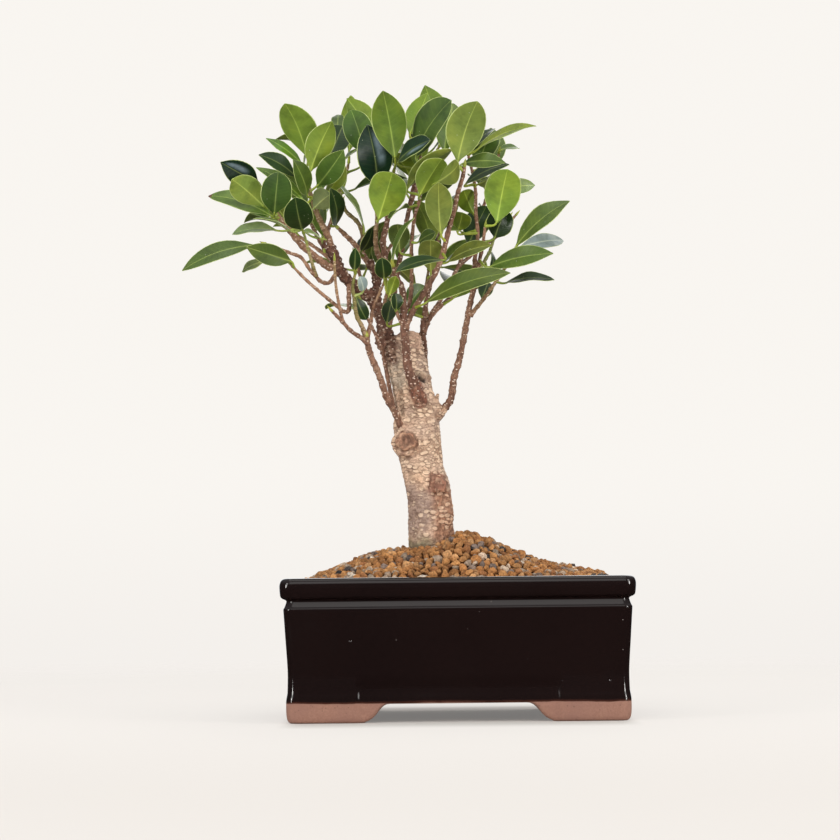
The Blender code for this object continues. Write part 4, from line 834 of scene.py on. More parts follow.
def glaze_material():
    """Dark brown gloss glaze with pits and dust, over bare reddish clay at the feet."""
    m = Maker("glaze")
    edge = m.scaled(m.noise(38.0), GLAZE_WANDER * MM, GLAZE_EDGE * MM)
    above = m.less(m.split(m.place)[2], edge)
    bare = m.fall(above, -0.25 * MM, 0.25 * MM)
    glaze = m.ramp(m.noise(14.0, 2.0), (16, 9, 9), (24, 14, 13))
    glaze = m.paint(glaze, m.step(above, 0.0, 1.6 * MM, 0.7, 0.0), (72, 40, 30))
    near, lots = m.cells(300.0)
    dust = m.times(m.fall(near, 0.05, 0.11), m.step(lots[0], 0.965, 0.97))
    glaze = m.paint(glaze, m.times(dust, 0.35), (190, 180, 175))
    grit = m.noise(900.0, 4.0, 0.6)
    clay = m.ramp(grit, (124, 86, 72), (160, 121, 105))
    clay = m.paint(clay, m.step(m.noise(60.0), 0.35, 0.75), (134, 98, 86))
    near, lots = m.cells(700.0)
    dark_grain = m.times(m.fall(near, 0.16, 0.3), m.step(lots[1], 0.90, 0.93))
    clay = m.paint(clay, m.times(dark_grain, 0.6), (70, 42, 34))
    smear = m.step(m.noise(26.0, 4.0, 0.6), 0.45, 0.8, 0.0, 0.10)
    gloss = m.plus(m.plus(smear, 0.075), m.times(dust, 0.4))
    near, lots = m.cells(130.0)
    pit = m.times(m.step(near, 0.05, 0.13, -1.0, 0.0), m.step(lots[2], 0.93, 0.94))
    swell = m.plus(m.times(m.noise(28.0, 1.0), 0.6), m.times(m.noise(150.0, 2.0), 0.05))
    relief = m.blend(bare, m.plus(swell, m.times(pit, 0.5)), m.times(grit, 0.30))
    colour = m.mix(bare, glaze, clay)
    return m.finish(colour, m.blend(bare, gloss, 0.88), m.bump(relief, 0.6 * MM, 0.8), IOR=1.5)


def granule_material():
    """Matt fired grains, each with its own colour from the mesh."""
    m = Maker("granules")
    mottle = m.noise(700.0, 4.0, 0.65)
    colour = m.stain(m.tint(), m.step(mottle, 0.3, 0.75, 0.0, 0.68), (56, 36, 22))
    colour = m.paint(colour, m.step(m.noise(260.0), 0.52, 0.8, 0.0, 0.24), (206, 160, 110))
    relief = m.plus(m.times(mottle, 0.7), m.times(m.cells(1500.0)[0], 0.35))
    return m.finish(colour, m.scaled(mottle, 0.12, 0.84), m.bump(relief, 0.5 * MM, 0.9))


def bark_material():
    """Bark: the mesh gives its ground colour and its shares of corky plates, flecks and cracks."""
    m = Maker("bark")
    tint = m.tint()
    plate_share, fleck_share, coarse = m.values("grain")
    colour = m.stain(tint, m.step(m.noise(120.0, 4.0, 0.6), 0.35, 0.70, 0.0, 0.42), (138, 104, 84))
    colour = m.paint(colour, m.step(m.noise(260.0, 3.0, 0.6, 0.3), 0.50, 0.72, 0.0, 0.34), (226, 192, 160))
    level = m.noise(520.0, 5.0, 0.62, 0.5, m.stretch((0.7, 0.7, 1.5)))
    upright = m.noise(520.0, 5.0, 0.65, 0.6, m.stretch((1.1, 1.1, 0.42)))
    crack = m.blend(coarse, level, upright)
    crack_mask = m.fall(crack, 0.44, 0.54)
    colour = m.paint(colour, m.times(crack_mask, m.scaled(coarse, 0.30, 0.40)), (78, 52, 40))
    near, lots = m.cells(PLATE_CELLS, m.stretch((1.0, 1.0, 1.8), m.warp(330.0, 1.6 * MM)))
    chosen = m.fall(m.less(lots[0], plate_share), -0.02, 0.02)
    reach = m.over(near, m.scaled(lots[1], 0.24, 0.42))
    plate = m.times(m.fall(reach, 0.72, 1.02), chosen)
    outline = m.times(m.fall(reach, 1.05, 1.40), chosen)
    colour = m.paint(colour, m.times(outline, 0.42), (104, 76, 58))
    cork = m.ramp(m.noise(700.0), (206, 168, 134), (240, 222, 200))
    cork = m.mix(m.scaled(coarse, 0.45, 0.22), cork, m.brighten(tint, (1.25, 1.2, 1.15)))
    colour = m.mix(m.times(plate, 0.90), colour, cork)
    near, lots = m.cells(430.0, m.stretch((1.0, 1.0, 1.5)))
    fleck = m.times(m.fall(near, 0.20, 0.35), m.step(lots[1], 0.22, 0.30))
    fleck = m.times(fleck, fleck_share)
    colour = m.paint(colour, m.times(fleck, 0.92), (238, 212, 192))
    relief = m.times(m.scaled(fleck, 0.6, crack), m.scaled(coarse, 1.0, 0.55))
    relief = m.scaled(plate, 0.8, relief)
    return m.finish(colour, m.scaled(crack_mask, 0.12, 0.72), m.bump(relief, 0.9 * MM, 0.9))


def leaf_material():
    """Leaves and their stalks. The mesh gives the tone, the face and the place on the blade."""
    m = Maker("foliage")
    tint = m.tint()
    along, across, from_rib = m.values("leaf")
    upper, dry, blade = m.values("side")
    out = m.size(across)
    rib_half = m.scaled(m.less(1.0, along), 0.42, 0.09)
    rib_share = m.over(m.size(from_rib), rib_half)
    side_vein = m.math("FRACT", m.scaled(along, 13.0, m.times(out, -1.5)))
    side_vein = m.size(m.less(side_vein, 0.5))
    vein = m.times(m.times(m.fall(side_vein, 0.05, 0.16), m.fall(out, 0.75, 0.95)), blade)
    patch = m.noise(60.0, 3.0, 0.55)
    colour = m.mix(m.step(patch, 0.36, 0.70, 0.0, 0.60), tint, m.brighten(tint, (1.7, 1.4, 1.2)))
    shade = m.noise(110.0, 3.0, 0.6)
    colour = m.stain(colour, m.step(shade, 0.42, 0.72, 0.0, 0.42), (120, 136, 84))
    bright = m.paint(m.brighten(colour, (2.3, 2.1, 2.2)), 0.30, (190, 200, 116))
    colour = m.mix(m.times(vein, 0.05), colour, bright)
    for low, high, strength in ((0.6, 4.0, 0.12), (0.55, 1.25, 0.72)):
        colour = m.mix(m.times(m.times(m.fall(rib_share, low, high), blade), strength), colour, bright)
    margin = m.times(m.step(out, 0.94, 0.985), blade)
    colour = m.paint(colour, m.times(margin, 0.82), (196, 210, 132))
    # Painted sheen: a bluish-white reflection streak on the right half of the glossiest leaves' upper faces
    aside = m.fall(m.size(m.less(across, 0.36)), 0.04, 0.34)
    midway = m.fall(m.size(m.less(along, 0.62)), 0.12, 0.34)
    painted_sheen_mask = m.times(m.step(upper, 1.21, 1.24), m.step(m.noise(160.0), 0.30, 0.62, 0.35, 1.0))
    colour = m.paint(colour, m.times(m.times(m.times(aside, midway), painted_sheen_mask), 0.55), (146, 166, 178))
    browning = m.times(m.step(m.scaled(patch, 0.10, along), 0.985, 1.01), dry)
    colour = m.paint(colour, browning, (96, 62, 44))
    near, lots = m.cells(420.0)
    speck = m.times(m.fall(near, 0.06, 0.14), m.step(lots[0], 0.90, 0.91))
    colour = m.paint(colour, m.times(speck, 0.45), (214, 220, 190))
    rough = m.plus(m.scaled(upper, -0.12, 0.47), m.step(shade, 0.4, 0.8, 0.0, 0.12))
    relief = m.scaled(vein, -0.02, m.times(m.noise(900.0), 0.10))
    relief = m.plus(relief, m.times(m.noise(170.0, 2.0), 0.5))
    return m.finish(colour, rough, m.bump(relief, 0.45 * MM, 0.7))


def screen_material():
    m = Maker("screen")
    fibre = m.noise(1400.0)
    colour = m.ramp(fibre, (16, 16, 17), (34, 34, 35))
    return m.finish(colour, m.scaled(fibre, 0.2, 0.38), m.bump(fibre, 0.2 * MM, 0.6))


def bed_material():
    # The soil under the grains, coloured dark brown as painted shade in the gaps between them
    m = Maker("soil_bed")
    mottle = m.noise(420.0, 4.0, 0.6)
    return m.finish(m.ramp(mottle, (58, 36, 20), (112, 70, 38)), 0.95, m.bump(mottle, 1.2 * MM))


# The pot

def side_stops(body_half, gap_top, apron_half):
    """Shares of half a side, from 0 to 1, close together where a foot's edge and the apron end."""
    ends = (0.0, gap_top - 2.0, apron_half + 5.0, body_half)
    stops = []
    for low, high, count in zip(ends, ends[1:], SIDE_STEPS):
        stops += [low + (high - low) * i / count for i in range(count)]
    return [stop / body_half for stop in (*stops, body_half)]


def pot_outline(inset, radius, stops):
    """Points of a rounded rectangle, counter-clockwise from the right side's middle."""
    half_x, half_y = (half - inset for half in RIM_HALF)
    straight_x, straight_y = half_x - radius, half_y - radius
    points = []
    for quarter, (sign_x, sign_y) in enumerate(((1, 1), (-1, 1), (-1, -1), (1, -1))):
        along_y = [(sign_x * half_x, sign_y * s * straight_y) for s in stops[1]]
        along_x = [(sign_x * s * straight_x, sign_y * half_y) for s in stops[0]]
        corner = []
        for step in range(1, CORNER_STEPS):
            angle = (quarter + step / CORNER_STEPS) * math.pi / 2
            corner.append((sign_x * straight_x + radius * math.cos(angle),
                           sign_y * straight_y + radius * math.sin(angle)))
        first, last = (along_y, along_x) if quarter in (0, 2) else (along_x, along_y)
        points += first + corner + last[:0:-1]
    return points


def on_long_side(x, y):
    return abs(y) / RIM_HALF[1] >= abs(x) / RIM_HALF[0]


def sole_height(x, y):
    """Height of the pot's lower edge: nothing at a foot, rising in an S to the gap's top."""
    place = abs(x) if on_long_side(x, y) else abs(y) + SIDE_GAP_LESS
    if place >= GAP_HALF[0][1]:
        return 0.0
    for (low, wide), (high, narrow) in zip(GAP_HALF, GAP_HALF[1:]):
        if place >= narrow:
            return lerp(low, high, (wide - place) / (wide - narrow))
    return FEET_HEIGHT


def apron_recess(x, y, z):
    """How far the wall lies back between the feet."""
    place, end = (abs(x), APRON_HALF[0]) if on_long_side(x, y) else (abs(y), APRON_HALF[1])
    across = 1.0 - smoothstep(end - APRON_SOFT, end + APRON_SOFT, place)
    return APRON_DEPTH * across * (1.0 - smoothstep(*APRON_TOP, z))


def pot_ring(z, inset, radius, stops):
    """One level of the pot's skin. Outside, its lower part follows the edge over a gap."""
    outside = inset < OUTSIDE_INSET
    outline = pot_outline(inset, radius, stops)
    ring = []
    for index, (x, y) in enumerate(outline):
        height = z
        if outside and z < SOLE_BLEND or z <= FEET_HEIGHT:
            low = sole_height(x, y)
            height = low + z * (SOLE_BLEND - low) / SOLE_BLEND if outside else max(low, z)
        before, after = outline[index - 1], outline[(index + 1) % len(outline)]
        out = Vector((after[1] - before[1], before[0] - after[0], 0)).normalized()
        shift = POT_WAVE * noise.noise(Vector((x, y, z)) / POT_WAVE_LENGTH) * smoothstep(2.0, 12.0, z)
        if outside:
            shift -= apron_recess(x, y, height)
        ring.append(Vector((x, y, height)) + out * shift)
    return ring


def pot_shape():
    """The pot's skin from the floor underneath, round the feet and up over the rim."""
    foot = [half - FOOT_INSET - FOOT_ROUND for half in RIM_HALF]
    gap_top = GAP_HALF[-1][1]
    stops = (
        side_stops(foot[0], gap_top, APRON_HALF[0]),
        side_stops(foot[1], gap_top - SIDE_GAP_LESS, APRON_HALF[1]),
    )
    inner_foot = FOOT_INSET + FOOT_WALL
    under = ((FEET_HEIGHT, inner_foot + 0.8, 2.0), (FEET_HEIGHT - 0.8, inner_foot, 2.0),
             (1.2, inner_foot, 2.0), (0.2, inner_foot - 0.6, 2.0), (0.0, inner_foot - 1.6, 2.0))
    profile = [tuple(place) for place, _ in smooth_route(POT_PROFILE, 1.1)]
    rings = [pot_ring(*level, stops) for level in (*under, *profile)]
    rings.append([Vector((x, y, FLOOR_TOP)) for x, y in pot_outline(INNER_INSET + 1.0, 6.0, stops)])
    count = len(rings[0])
    last = (len(rings) - 1) * count
    shape = Shape()
    caps = [tuple(range(last, last + count)), tuple(reversed(range(count)))]
    shape.add([p for ring in rings for p in ring], ring_faces(len(rings), count) + caps)
    return shape


def make_pot():
    pot = piece("glazed_pot", pot_shape().mesh("pot_skin"), glaze_material(), "glaze", "pot")
    for side in (-1, 1):
        bm = bmesh.new()
        bmesh.ops.create_cone(bm, cap_ends=True, segments=48, radius1=DRAIN_RADIUS * MM,
                              radius2=DRAIN_RADIUS * MM, depth=DRAIN_CUT * MM)
        place = POT_CENTRE + Vector((side * DRAIN_SPACING, 0, FEET_HEIGHT + 3)) * MM
        bmesh.ops.translate(bm, verts=bm.verts, vec=place)
        cutter = add_object("drain", mesh_of("drain", bm))
        modifier = pot.modifiers.new("cut", "BOOLEAN")
        modifier.operation = "DIFFERENCE"
        modifier.object = cutter
        bake_modifiers(pot)
        bpy.data.objects.remove(cutter)
    pot.data.set_sharp_from_angle(angle=math.radians(42))


def make_screens():
    """Each drain screen is a woven-looking net: bars across and bars along, fused where they cross."""
    material = screen_material()
    half = SCREEN_SIDE / 2
    pitch = (SCREEN_SIDE - SCREEN_BAR * 2) / (SCREEN_BARS - 1)
    for side, name in ((-1, "left"), (1, "right")):
        shape = Shape()
        for index in range(SCREEN_BARS):
            place = -half + SCREEN_BAR + index * pitch
            along = ((-half, place), (half, place))
            across = ((place, -half), (place, half))
            for level, bar in zip(SCREEN_LEVELS, (along, across)):
                lift = FLOOR_TOP + SCREEN_CLEARANCE + SCREEN_THICKNESS * level
                shift = Vector((side * DRAIN_SPACING, 0, lift))
                ends = [(Vector((*end, 0)) + shift, share) for share, end in enumerate(bar)]
                add_tube(shape, ends, lambda t: SCREEN_BAR * 0.8, 8)
        piece(f"screen_{name}", shape.mesh(f"screen_{name}"), material, "screen", f"drain_screen_{name}")


# The soil

def soil_height(x, y):
    """Height of the bed of grains at a place."""
    ridge = between(MOUND_RIDGE, x)
    fall = max(0.0, 1.0 - abs(y / SOIL_HALF[1]) ** SOIL_FALL_POWER)
    return POT_TOP - SOIL_EDGE_DROP + (ridge + SOIL_EDGE_DROP) * fall


def grain_base(rng):
    """One lump of about unit radius: a ball with random humps, cut by flats, in few faces."""
    bm = bmesh.new()
    bmesh.ops.create_icosphere(bm, subdivisions=2, radius=1.0)
    flats = [(drawn(rng.gauss, 0, 1).normalized(), rng.uniform(0.60, 0.88)) for _ in range(GRAIN_FLATS)]
    squash = Vector((1.0, rng.uniform(0.66, 0.98), rng.uniform(0.58, 0.92)))
    shift = drawn(rng.uniform, 0, 50)
    for vert in bm.verts:
        p = vert.co.copy()
        p *= 1.0 + 0.16 * noise.noise(p * 1.3 + shift) + 0.05 * noise.noise(p * 4.0 + shift)
        for way, depth in flats:
            over = p.dot(way) - depth
            if over > 0:
                p -= way * over * 0.96
        vert.co = p * squash
    bmesh.ops.dissolve_limit(bm, angle_limit=math.radians(13), verts=bm.verts, edges=bm.edges)
    bmesh.ops.triangulate(bm, faces=bm.faces)
    bm.verts.index_update()
    return points_and_faces(bm)


def grain_place(rng, share):
    """A place on the bed and a radius, which falls as more grains are set, or nothing at the trunk."""
    radius = lerp(GRAIN_RADII[1], GRAIN_RADII[0], share ** 0.9) * rng.uniform(0.86, 1.14)
    x, y = (rng.uniform(radius - half, half - radius) for half in SOIL_HALF)
    (foot_x, foot_y), foot_radius = TRUNK_FOOT
    if math.hypot(x - foot_x, y - foot_y) < foot_radius + 0.45 * radius:
        return None
    lift = rng.uniform(-0.5, 0.9) * (1.0 if share < 0.6 else 0.4)
    return x, y, soil_height(x, y) - 0.35 * radius + lift, radius


def has_room(grain, near, share):
    """Whether a grain sinks into none of those near it by more than they may."""
    x, y, z, radius = grain
    squeeze = GRAIN_SQUEEZE[0] if share < 0.55 else GRAIN_SQUEEZE[1]
    return not any(
        (x - a) ** 2 + (y - b) ** 2 + (z - c) ** 2 < ((radius + r) * squeeze) ** 2 for a, b, c, r in near
    )


def make_soil():
    rng = random.Random(SOIL_SEED)
    bases = [grain_base(rng) for _ in range(GRAIN_SHAPES)]
    colours, weights = zip(*GRAIN_COLOURS)
    taken = {}
    shapes = {"granules_left": Shape(), "granules_right": Shape()}
    placed = 0
    for _ in range(GRAIN_TRIES):
        if placed == GRAIN_COUNT:
            break
        share = placed / GRAIN_COUNT
        grain = grain_place(rng, share)
        if grain is None:
            continue
        x, y, z, radius = grain
        column, row = int(x // GRAIN_CELL), int(y // GRAIN_CELL)
        near = [g for i in (-1, 0, 1) for j in (-1, 0, 1) for g in taken.get((column + i, row + j), ())]
        if not has_room(grain, near, share):
            continue
        taken.setdefault((column, row), []).append(grain)
        placed += 1
        points, faces = rng.choice(bases)
        turn = Matrix.Rotation(rng.uniform(0, 6.28), 3, drawn(rng.gauss, 0, 1))
        colour = rng.choices(colours, weights)[0]
        dim = rng.uniform(0.66, 1.16)
        tint = (*(c * dim for c in srgb(colour)), 1.0)
        centre = Vector((x, y, z))
        shape = shapes["granules_left" if x < 0 else "granules_right"]
        shape.add([centre + turn @ p * radius for p in points], faces, tint=[tint] * len(points))
    material = granule_material()
    for name, shape in shapes.items():
        grains = piece(name, shape.mesh(name), material, "granules", "soil")
        grains.data.set_sharp_from_angle(angle=math.radians(30))
    make_bed()


def make_bed():
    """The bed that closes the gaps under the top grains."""
    shape = Shape()
    columns, rows = 96, 72
    half_x, half_y = (half + 0.6 for half in SOIL_HALF)
    points = []
    for j in range(rows + 1):
        for i in range(columns + 1):
            x = lerp(-half_x, half_x, i / columns)
            y = lerp(-half_y, half_y, j / rows)
            rough = 1.1 * noise.noise(Vector((x, y, 0)) / 2.3)
            points.append(Vector((x, y, soil_height(x, y) - BED_DROP + rough)))
    shape.add(points, grid_faces(rows + 1, columns + 1))
    bed = piece("soil_bed", shape.mesh("soil_bed"), bed_material(), "granules")
    thick = bed.modifiers.new("depth", "SOLIDIFY")
    thick.thickness = BED_DEPTH * MM
    thick.offset = -1
    bake_modifiers(bed)


# The trunk

def ring_at(z):
    """Centre and radii of the trunk at a height, smoothly between its rings."""
    rows = TRUNK_RINGS
    for index in range(len(rows) - 1):
        if z <= rows[index + 1][0]:
            break
    low, high = rows[index], rows[index + 1]
    near = rows[max(index - 1, 0)], low, high, rows[min(index + 2, len(rows) - 1)]
    t = min(max((z - low[0]) / (high[0] - low[0]), 0.0), 1.0)
    return [curve(*(row[column] for row in near), t) for column in range(1, 5)]


def trunk_loft(shape, sides=56, step=1.5):
    first, last = TRUNK_RINGS[0][0], TRUNK_RINGS[-1][0]
    count = round((last - first) / step)
    points = []
    for k in range(count + 1):
        z = lerp(first, last, k / count)
        x, y, rx, ry = ring_at(z)
        for side in range(sides):
            angle = 2 * math.pi * side / sides
            ripple = 0.35 * (math.sin(3 * angle + z / 9) + math.sin(5 * angle - z / 13))
            flare = 1.6 * smoothstep(100, 84, z) * max(0.0, math.sin(3 * angle + 0.8))
            points.append(Vector((x + (rx + ripple + flare) * math.cos(angle),
                                  y + (ry + ripple + flare) * math.sin(angle), z)))
    caps = [tuple(reversed(range(sides))), tuple(range(count * sides, (count + 1) * sides))]
    shape.add(points, ring_faces(count + 1, sides) + caps)


def add_ball(shape, centre, radii):
    bm = bmesh.new()
    bmesh.ops.create_icosphere(bm, subdivisions=3, radius=1.0)
    points, faces = points_and_faces(bm)
    scaled = [Vector([value * radius for value, radius in zip(p, radii)]) for p in points]
    shape.add([Vector(centre) + p for p in scaled], faces)


def add_collar(shape, route, radius, reach, wide):
    """A cone that hugs the start of a limb and widens into the wood."""
    samples = []
    gone = 0.0
    places = [p for p, _ in smooth_route(route, 1.0)]
    for before, after in zip(places, places[1:]):
        samples.append(before)
        gone += (after - before).length
        if gone > reach:
            break
    last = len(samples) - 1
    rows = [(p, i / last) for i, p in enumerate(samples)]
    add_tube(shape, rows, lambda t: radius * lerp(wide, 1.02, smoothstep(0.0, 1.0, t)), 20)


def trunk_shape():
    shape = Shape()
    trunk_loft(shape)
    for centre, radii in BURLS:
        add_ball(shape, centre, radii)
    for route, radii, sides in (
        (LEADER_FOOT, LEADER_FOOT_RADII, 24), (LEADER_ROUTE, LEADER_RADII, 20), (DARK_ROUTE, DARK_RADII, 20),
    ):
        add_tube(shape, smooth_route(route, 1.5), lambda t: lerp(*radii, t), sides)
    for name, (reach, wide) in COLLARS.items():
        route, first, _, _ = BRANCHES[name]["main"]
        add_collar(shape, route, first, reach, wide)
    for place, way, length, radius in STUBS:
        way = Vector(way).normalized()
        samples = [(Vector(place) + way * (length * k / 4), k / 4) for k in range(5)]
        add_tube(shape, samples, lambda t: radius * (1 - 0.35 * t), 12)
    return shape


FRONT_COLLAR_PATH = smooth_route(FRONT_COLLAR, 1.5)


def near_front_collar(p):
    """How near a place is to the swelling under the front limb, from 0 far off to 1 on it."""
    gap = min((p - Vector(q)).length for q, _ in FRONT_COLLAR_PATH)
    return 1 - smoothstep(3.4, 6.2, gap)


def plate_share(p):
    """Share of the corky plates that stand at a place."""
    share = PLATE_SHARE if p.z > 141 else lerp(0.34, 0.55, smoothstep(-16, -8, p.x))
    share *= smoothstep(96, 112, p.z)
    for centre, radius in ((LEFT_KNOB, 7.5), (RIGHT_BURL, 6.0), (SCAR_HOLE, 4.5)):
        share *= smoothstep(radius * 0.7, radius, (p - centre).length)
    share *= 1 - 0.75 * near_front_collar(p)
    return share * (1 - smoothstep(217, 224, p.z))


def in_scar(p):
    """How far a place lies from the middle of the scar's slit, with 1 at its edge."""
    away = p - SCAR_HOLE
    along = away.x * math.cos(SCAR_SLOPE) - away.z * math.sin(SCAR_SLOPE)
    across = away.x * math.sin(SCAR_SLOPE) + away.z * math.cos(SCAR_SLOPE)
    return Vector((along / SCAR_HALF[0], away.y / SCAR_HALF[1], across / SCAR_HALF[2])).length


def on_lip(p):
    """How near a place is to the crest of the arched lip over the scar, up to 1 on it."""
    centre, radius = SCAR_LIP
    across = p - centre
    if p.y > -5 or abs(across.x) > 9 or not -1.5 < across.z < 9:
        return 0.0
    return max(0.0, 1 - abs(math.hypot(across.x * 0.85, across.z) - radius) / 1.3)


def whorls(p):
    """Rings round the left knob and the right burl, in millimetres."""
    height = 0.0
    for centre, reach, rise in ((LEFT_KNOB, 15.0, 0.85), (RIGHT_BURL, 11.0, 0.75)):
        gap = (p - centre).length
        if gap < reach:
            height += rise * math.sin(gap * 1.75 + 3.2 * noise.noise(p / 4)) * (1 - gap / reach)
    return height


def scales(p):
    """Scaly bark low on the right and at the foot of the leader, in millimetres."""
    rough = sum(max(0.0, 1 - (p - centre).length / SCALY_REACH) for centre in SCALY)
    return rough * 1.2 * noise.noise(p / 1.9)


def relief_at(p):
    """How far the bark stands out at a place on the trunk, in millimetres."""
    grow = 0.50 * noise.noise(p / 6.0) + 0.35 * noise.noise(Vector((p.x / 2.8, p.y / 2.8, p.z / 1.6)))
    grow += 0.18 * noise.noise(p / 0.9)
    grow += whorls(p) + scales(p)
    grow += smoothstep(200, 212, p.z) * 0.35 * math.sin(p.z * 1.9 + 2.5 * noise.noise(p / 6))
    grow += 1.3 * on_lip(p)
    return grow - 3.6 * max(0.0, 1 - in_scar(p) / 1.5)


def toward(colour, other, share):
    """A colour in linear light moved by a share towards another of 0 to 255."""
    return colour.lerp(Vector(srgb(other)), share)


def trunk_tint(p):
    """Ground colour of the bark at a place, with its share of flecks and its coarseness."""
    drift = min(1.0, max(0.0, 0.5 + 0.9 * noise.noise(p / 14.0)))
    colour = toward(Vector(srgb(TRUNK_PALE)), TRUNK_GREY, drift)
    colour *= 1 + 0.28 * noise.noise(p / 4.5)
    coarse = 0.15
    for centre, radius, patch, share, rough in PATCHES:
        gap = (p - centre).length + 3.0 * noise.noise(p / 4)
        near = share * (1 - smoothstep(radius * 0.6, radius * 1.1, gap))
        if near > 0:
            colour = toward(colour, patch, near)
            coarse = lerp(coarse, rough, near)
    limb = near_front_collar(p)
    colour = toward(colour, LIMB_DARK, limb)
    leader = min((p - Vector(q)).length for q in LEADER_FOOT[1:] + LEADER_ROUTE + DARK_ROUTE)
    wood = 1 - smoothstep(7.5, 11.0, leader + 1.5 * noise.noise(p / 5))
    wood = max(wood, smoothstep(228, 234, p.z), smoothstep(-31, -35, p.x) * smoothstep(203, 208, p.z))
    colour = toward(colour, LEADER_DARK, wood)
    wood = max(wood, limb)
    coarse = max(coarse, wood)
    moss = (1 - smoothstep(98, 106, p.z + 6 * noise.noise(p / 7))) * smoothstep(-8, -18, p.x)
    colour = toward(colour, MOSS, 0.6 * moss)
    colour *= 1 - 0.35 * smoothstep(104, 97, p.z)
    # Painted shade and light: the grooves of the whorls and scales are darker and their ridges lighter
    colour *= max(0.4, 1 + 0.55 * whorls(p) + 0.6 * scales(p))
    colour = toward(colour, SCAR_CREAM, 0.85 * on_lip(p))
    # Painted shade: the scar's hollow is filled with near black, fading to brown at its edge
    hole = 1 - smoothstep(0.6, 1.3, in_scar(p))
    colour = toward(colour, SCAR_SHADE, hole)
    return (*colour, 1.0), wood * (1 - hole), coarse


def make_trunk(material):
    trunk = add_object("trunk_wood", trunk_shape().mesh("trunk"))
    remesh = trunk.modifiers.new("merge", "REMESH")
    remesh.mode = "VOXEL"
    remesh.voxel_size = TRUNK_VOXEL * MM
    soften = trunk.modifiers.new("soften", "SMOOTH")
    soften.factor = 0.5
    soften.iterations = 6
    bake_modifiers(trunk)
    mesh = trunk.data
    tints, grains = [], []
    normals = [v.normal.copy() for v in mesh.vertices]
    for vert, normal in zip(mesh.vertices, normals):
        place = (vert.co - POT_CENTRE) / MM
        vert.co += normal * (relief_at(place) * MM)
        tint, flecks, coarse = trunk_tint(place)
        tints.append(tint)
        grains.append((plate_share(place), flecks, coarse))
    mesh.update()
    write_values(mesh, "tint", tints)
    write_values(mesh, "grain", grains)
    mesh.shade_smooth()
    bpy.data.objects.remove(trunk)
    piece("trunk_bark", mesh, material, "bark", "trunk")


# The twigs and limbs

def limb_colour(age, share):
    """Bark colour from rough brown through tan to green, younger towards the tip."""
    young = min(1.0, age + 0.35 * share * (0.4 + age))
    if young < 0.5:
        colour = toward(Vector(srgb(OLD_BARK)), TAN_BARK, young * 2)
    else:
        colour = toward(Vector(srgb(TAN_BARK)), YOUNG_BARK, young * 2 - 1)
    return (*colour, 1.0), (0.0, 1.0 - 0.85 * young, max(0.0, 0.85 - young))


def add_limb(shape, label, limb, rng):
    """One limb with its rings of old leaf scars and its rough skin."""
    route, first, last, age = limb
    samples = smooth_route(route, 1.1)
    length = sum((b - a).length for (a, _), (b, _) in zip(samples, samples[1:]))
    knots = []
    place = rng.uniform(2, 5)
    while place < length - 1:
        knots.append(place / length)
        place += rng.uniform(3.8, 7.5)
    seed = drawn(rng.uniform, 0, 99)
    flare = 0.0 if label == "main" else 0.55

    def radius_at(share):
        ring = sum(math.exp(-((share - knot) * length / 0.75) ** 2) for knot in knots)
        start = flare * math.exp(-share * length / 2.2)
        end = 1.0 - 0.45 * smoothstep(1 - 1.5 / length, 1.0, share)
        return lerp(first, last, share) * (1 + 0.22 * min(ring, 1.0) + start) * end

    def wobble(place, out):
        rough = (1 - 0.7 * age) * min(first, 2.2)
        spot = place / 1.9 + out * 0.8 + seed
        return rough * (0.16 * noise.noise(spot) + 0.10 * noise.noise(spot * 2.3))

    values = {
        "tint": lambda share: limb_colour(age, share)[0],
        "grain": lambda share: limb_colour(age, share)[1],
    }
    add_tube(shape, samples, radius_at, 14 if first > 1.6 else 10, wobble, values)


def make_wood(branch, material):
    name = f"branch_{branch}"
    shape = Shape()
    rng = random.Random(name)
    for label, limb in BRANCHES[branch].items():
        add_limb(shape, label, limb, rng)
    piece(f"{name}_wood", shape.mesh(f"{name}_wood"), material, "bark", name)


# The leaves

def turned_normal(direction, degrees):
    """The normal of a blade turned by degrees from showing its upper face to the front."""
    front = Vector((0, -1, 0))
    facing = front - front.dot(direction) * direction
    if facing.length < 0.05:
        facing = Vector((0, 0, 1)) - direction.z * direction
    facing.normalize()
    side = direction.cross(facing)
    angle = math.radians(degrees)
    return facing * math.cos(angle) + side * math.sin(angle)


def nearest_on_limbs(limbs, point):
    best, best_gap = None, 1e9
    for limb in limbs.values():
        route = [Vector(p) for p in limb[0]]
        for a, b in zip(route, route[1:]):
            run = b - a
            share = min(max((point - a).dot(run) / run.length_squared, 0.0), 1.0)
            at = a + run * share
            if (at - point).length < best_gap:
                best, best_gap = at, (at - point).length
    return best


def read_leaf(row, limbs, swing):
    """A leaf from its row, with its tip moved in depth and its blade turned by the swing."""
    base, tip, width, degrees, _ = row
    base, tip = Vector(base), Vector(tip)
    tip.y += swing[0]
    direction = (tip - base).normalized()
    root = nearest_on_limbs(limbs, base - direction * (0.15 * (tip - base).length))
    return base, tip, turned_normal(direction, degrees + swing[1]), width, root


def along_limb(route, back):
    """The point of a route that lies a distance back from its end, and the way it runs."""
    points = [Vector(p) for p in route]
    for b, a in zip(points[::-1], points[-2::-1]):
        run = b - a
        if back <= run.length:
            return b - run.normalized() * back, run.normalized()
        back -= run.length
    return points[0], (points[1] - points[0]).normalized()


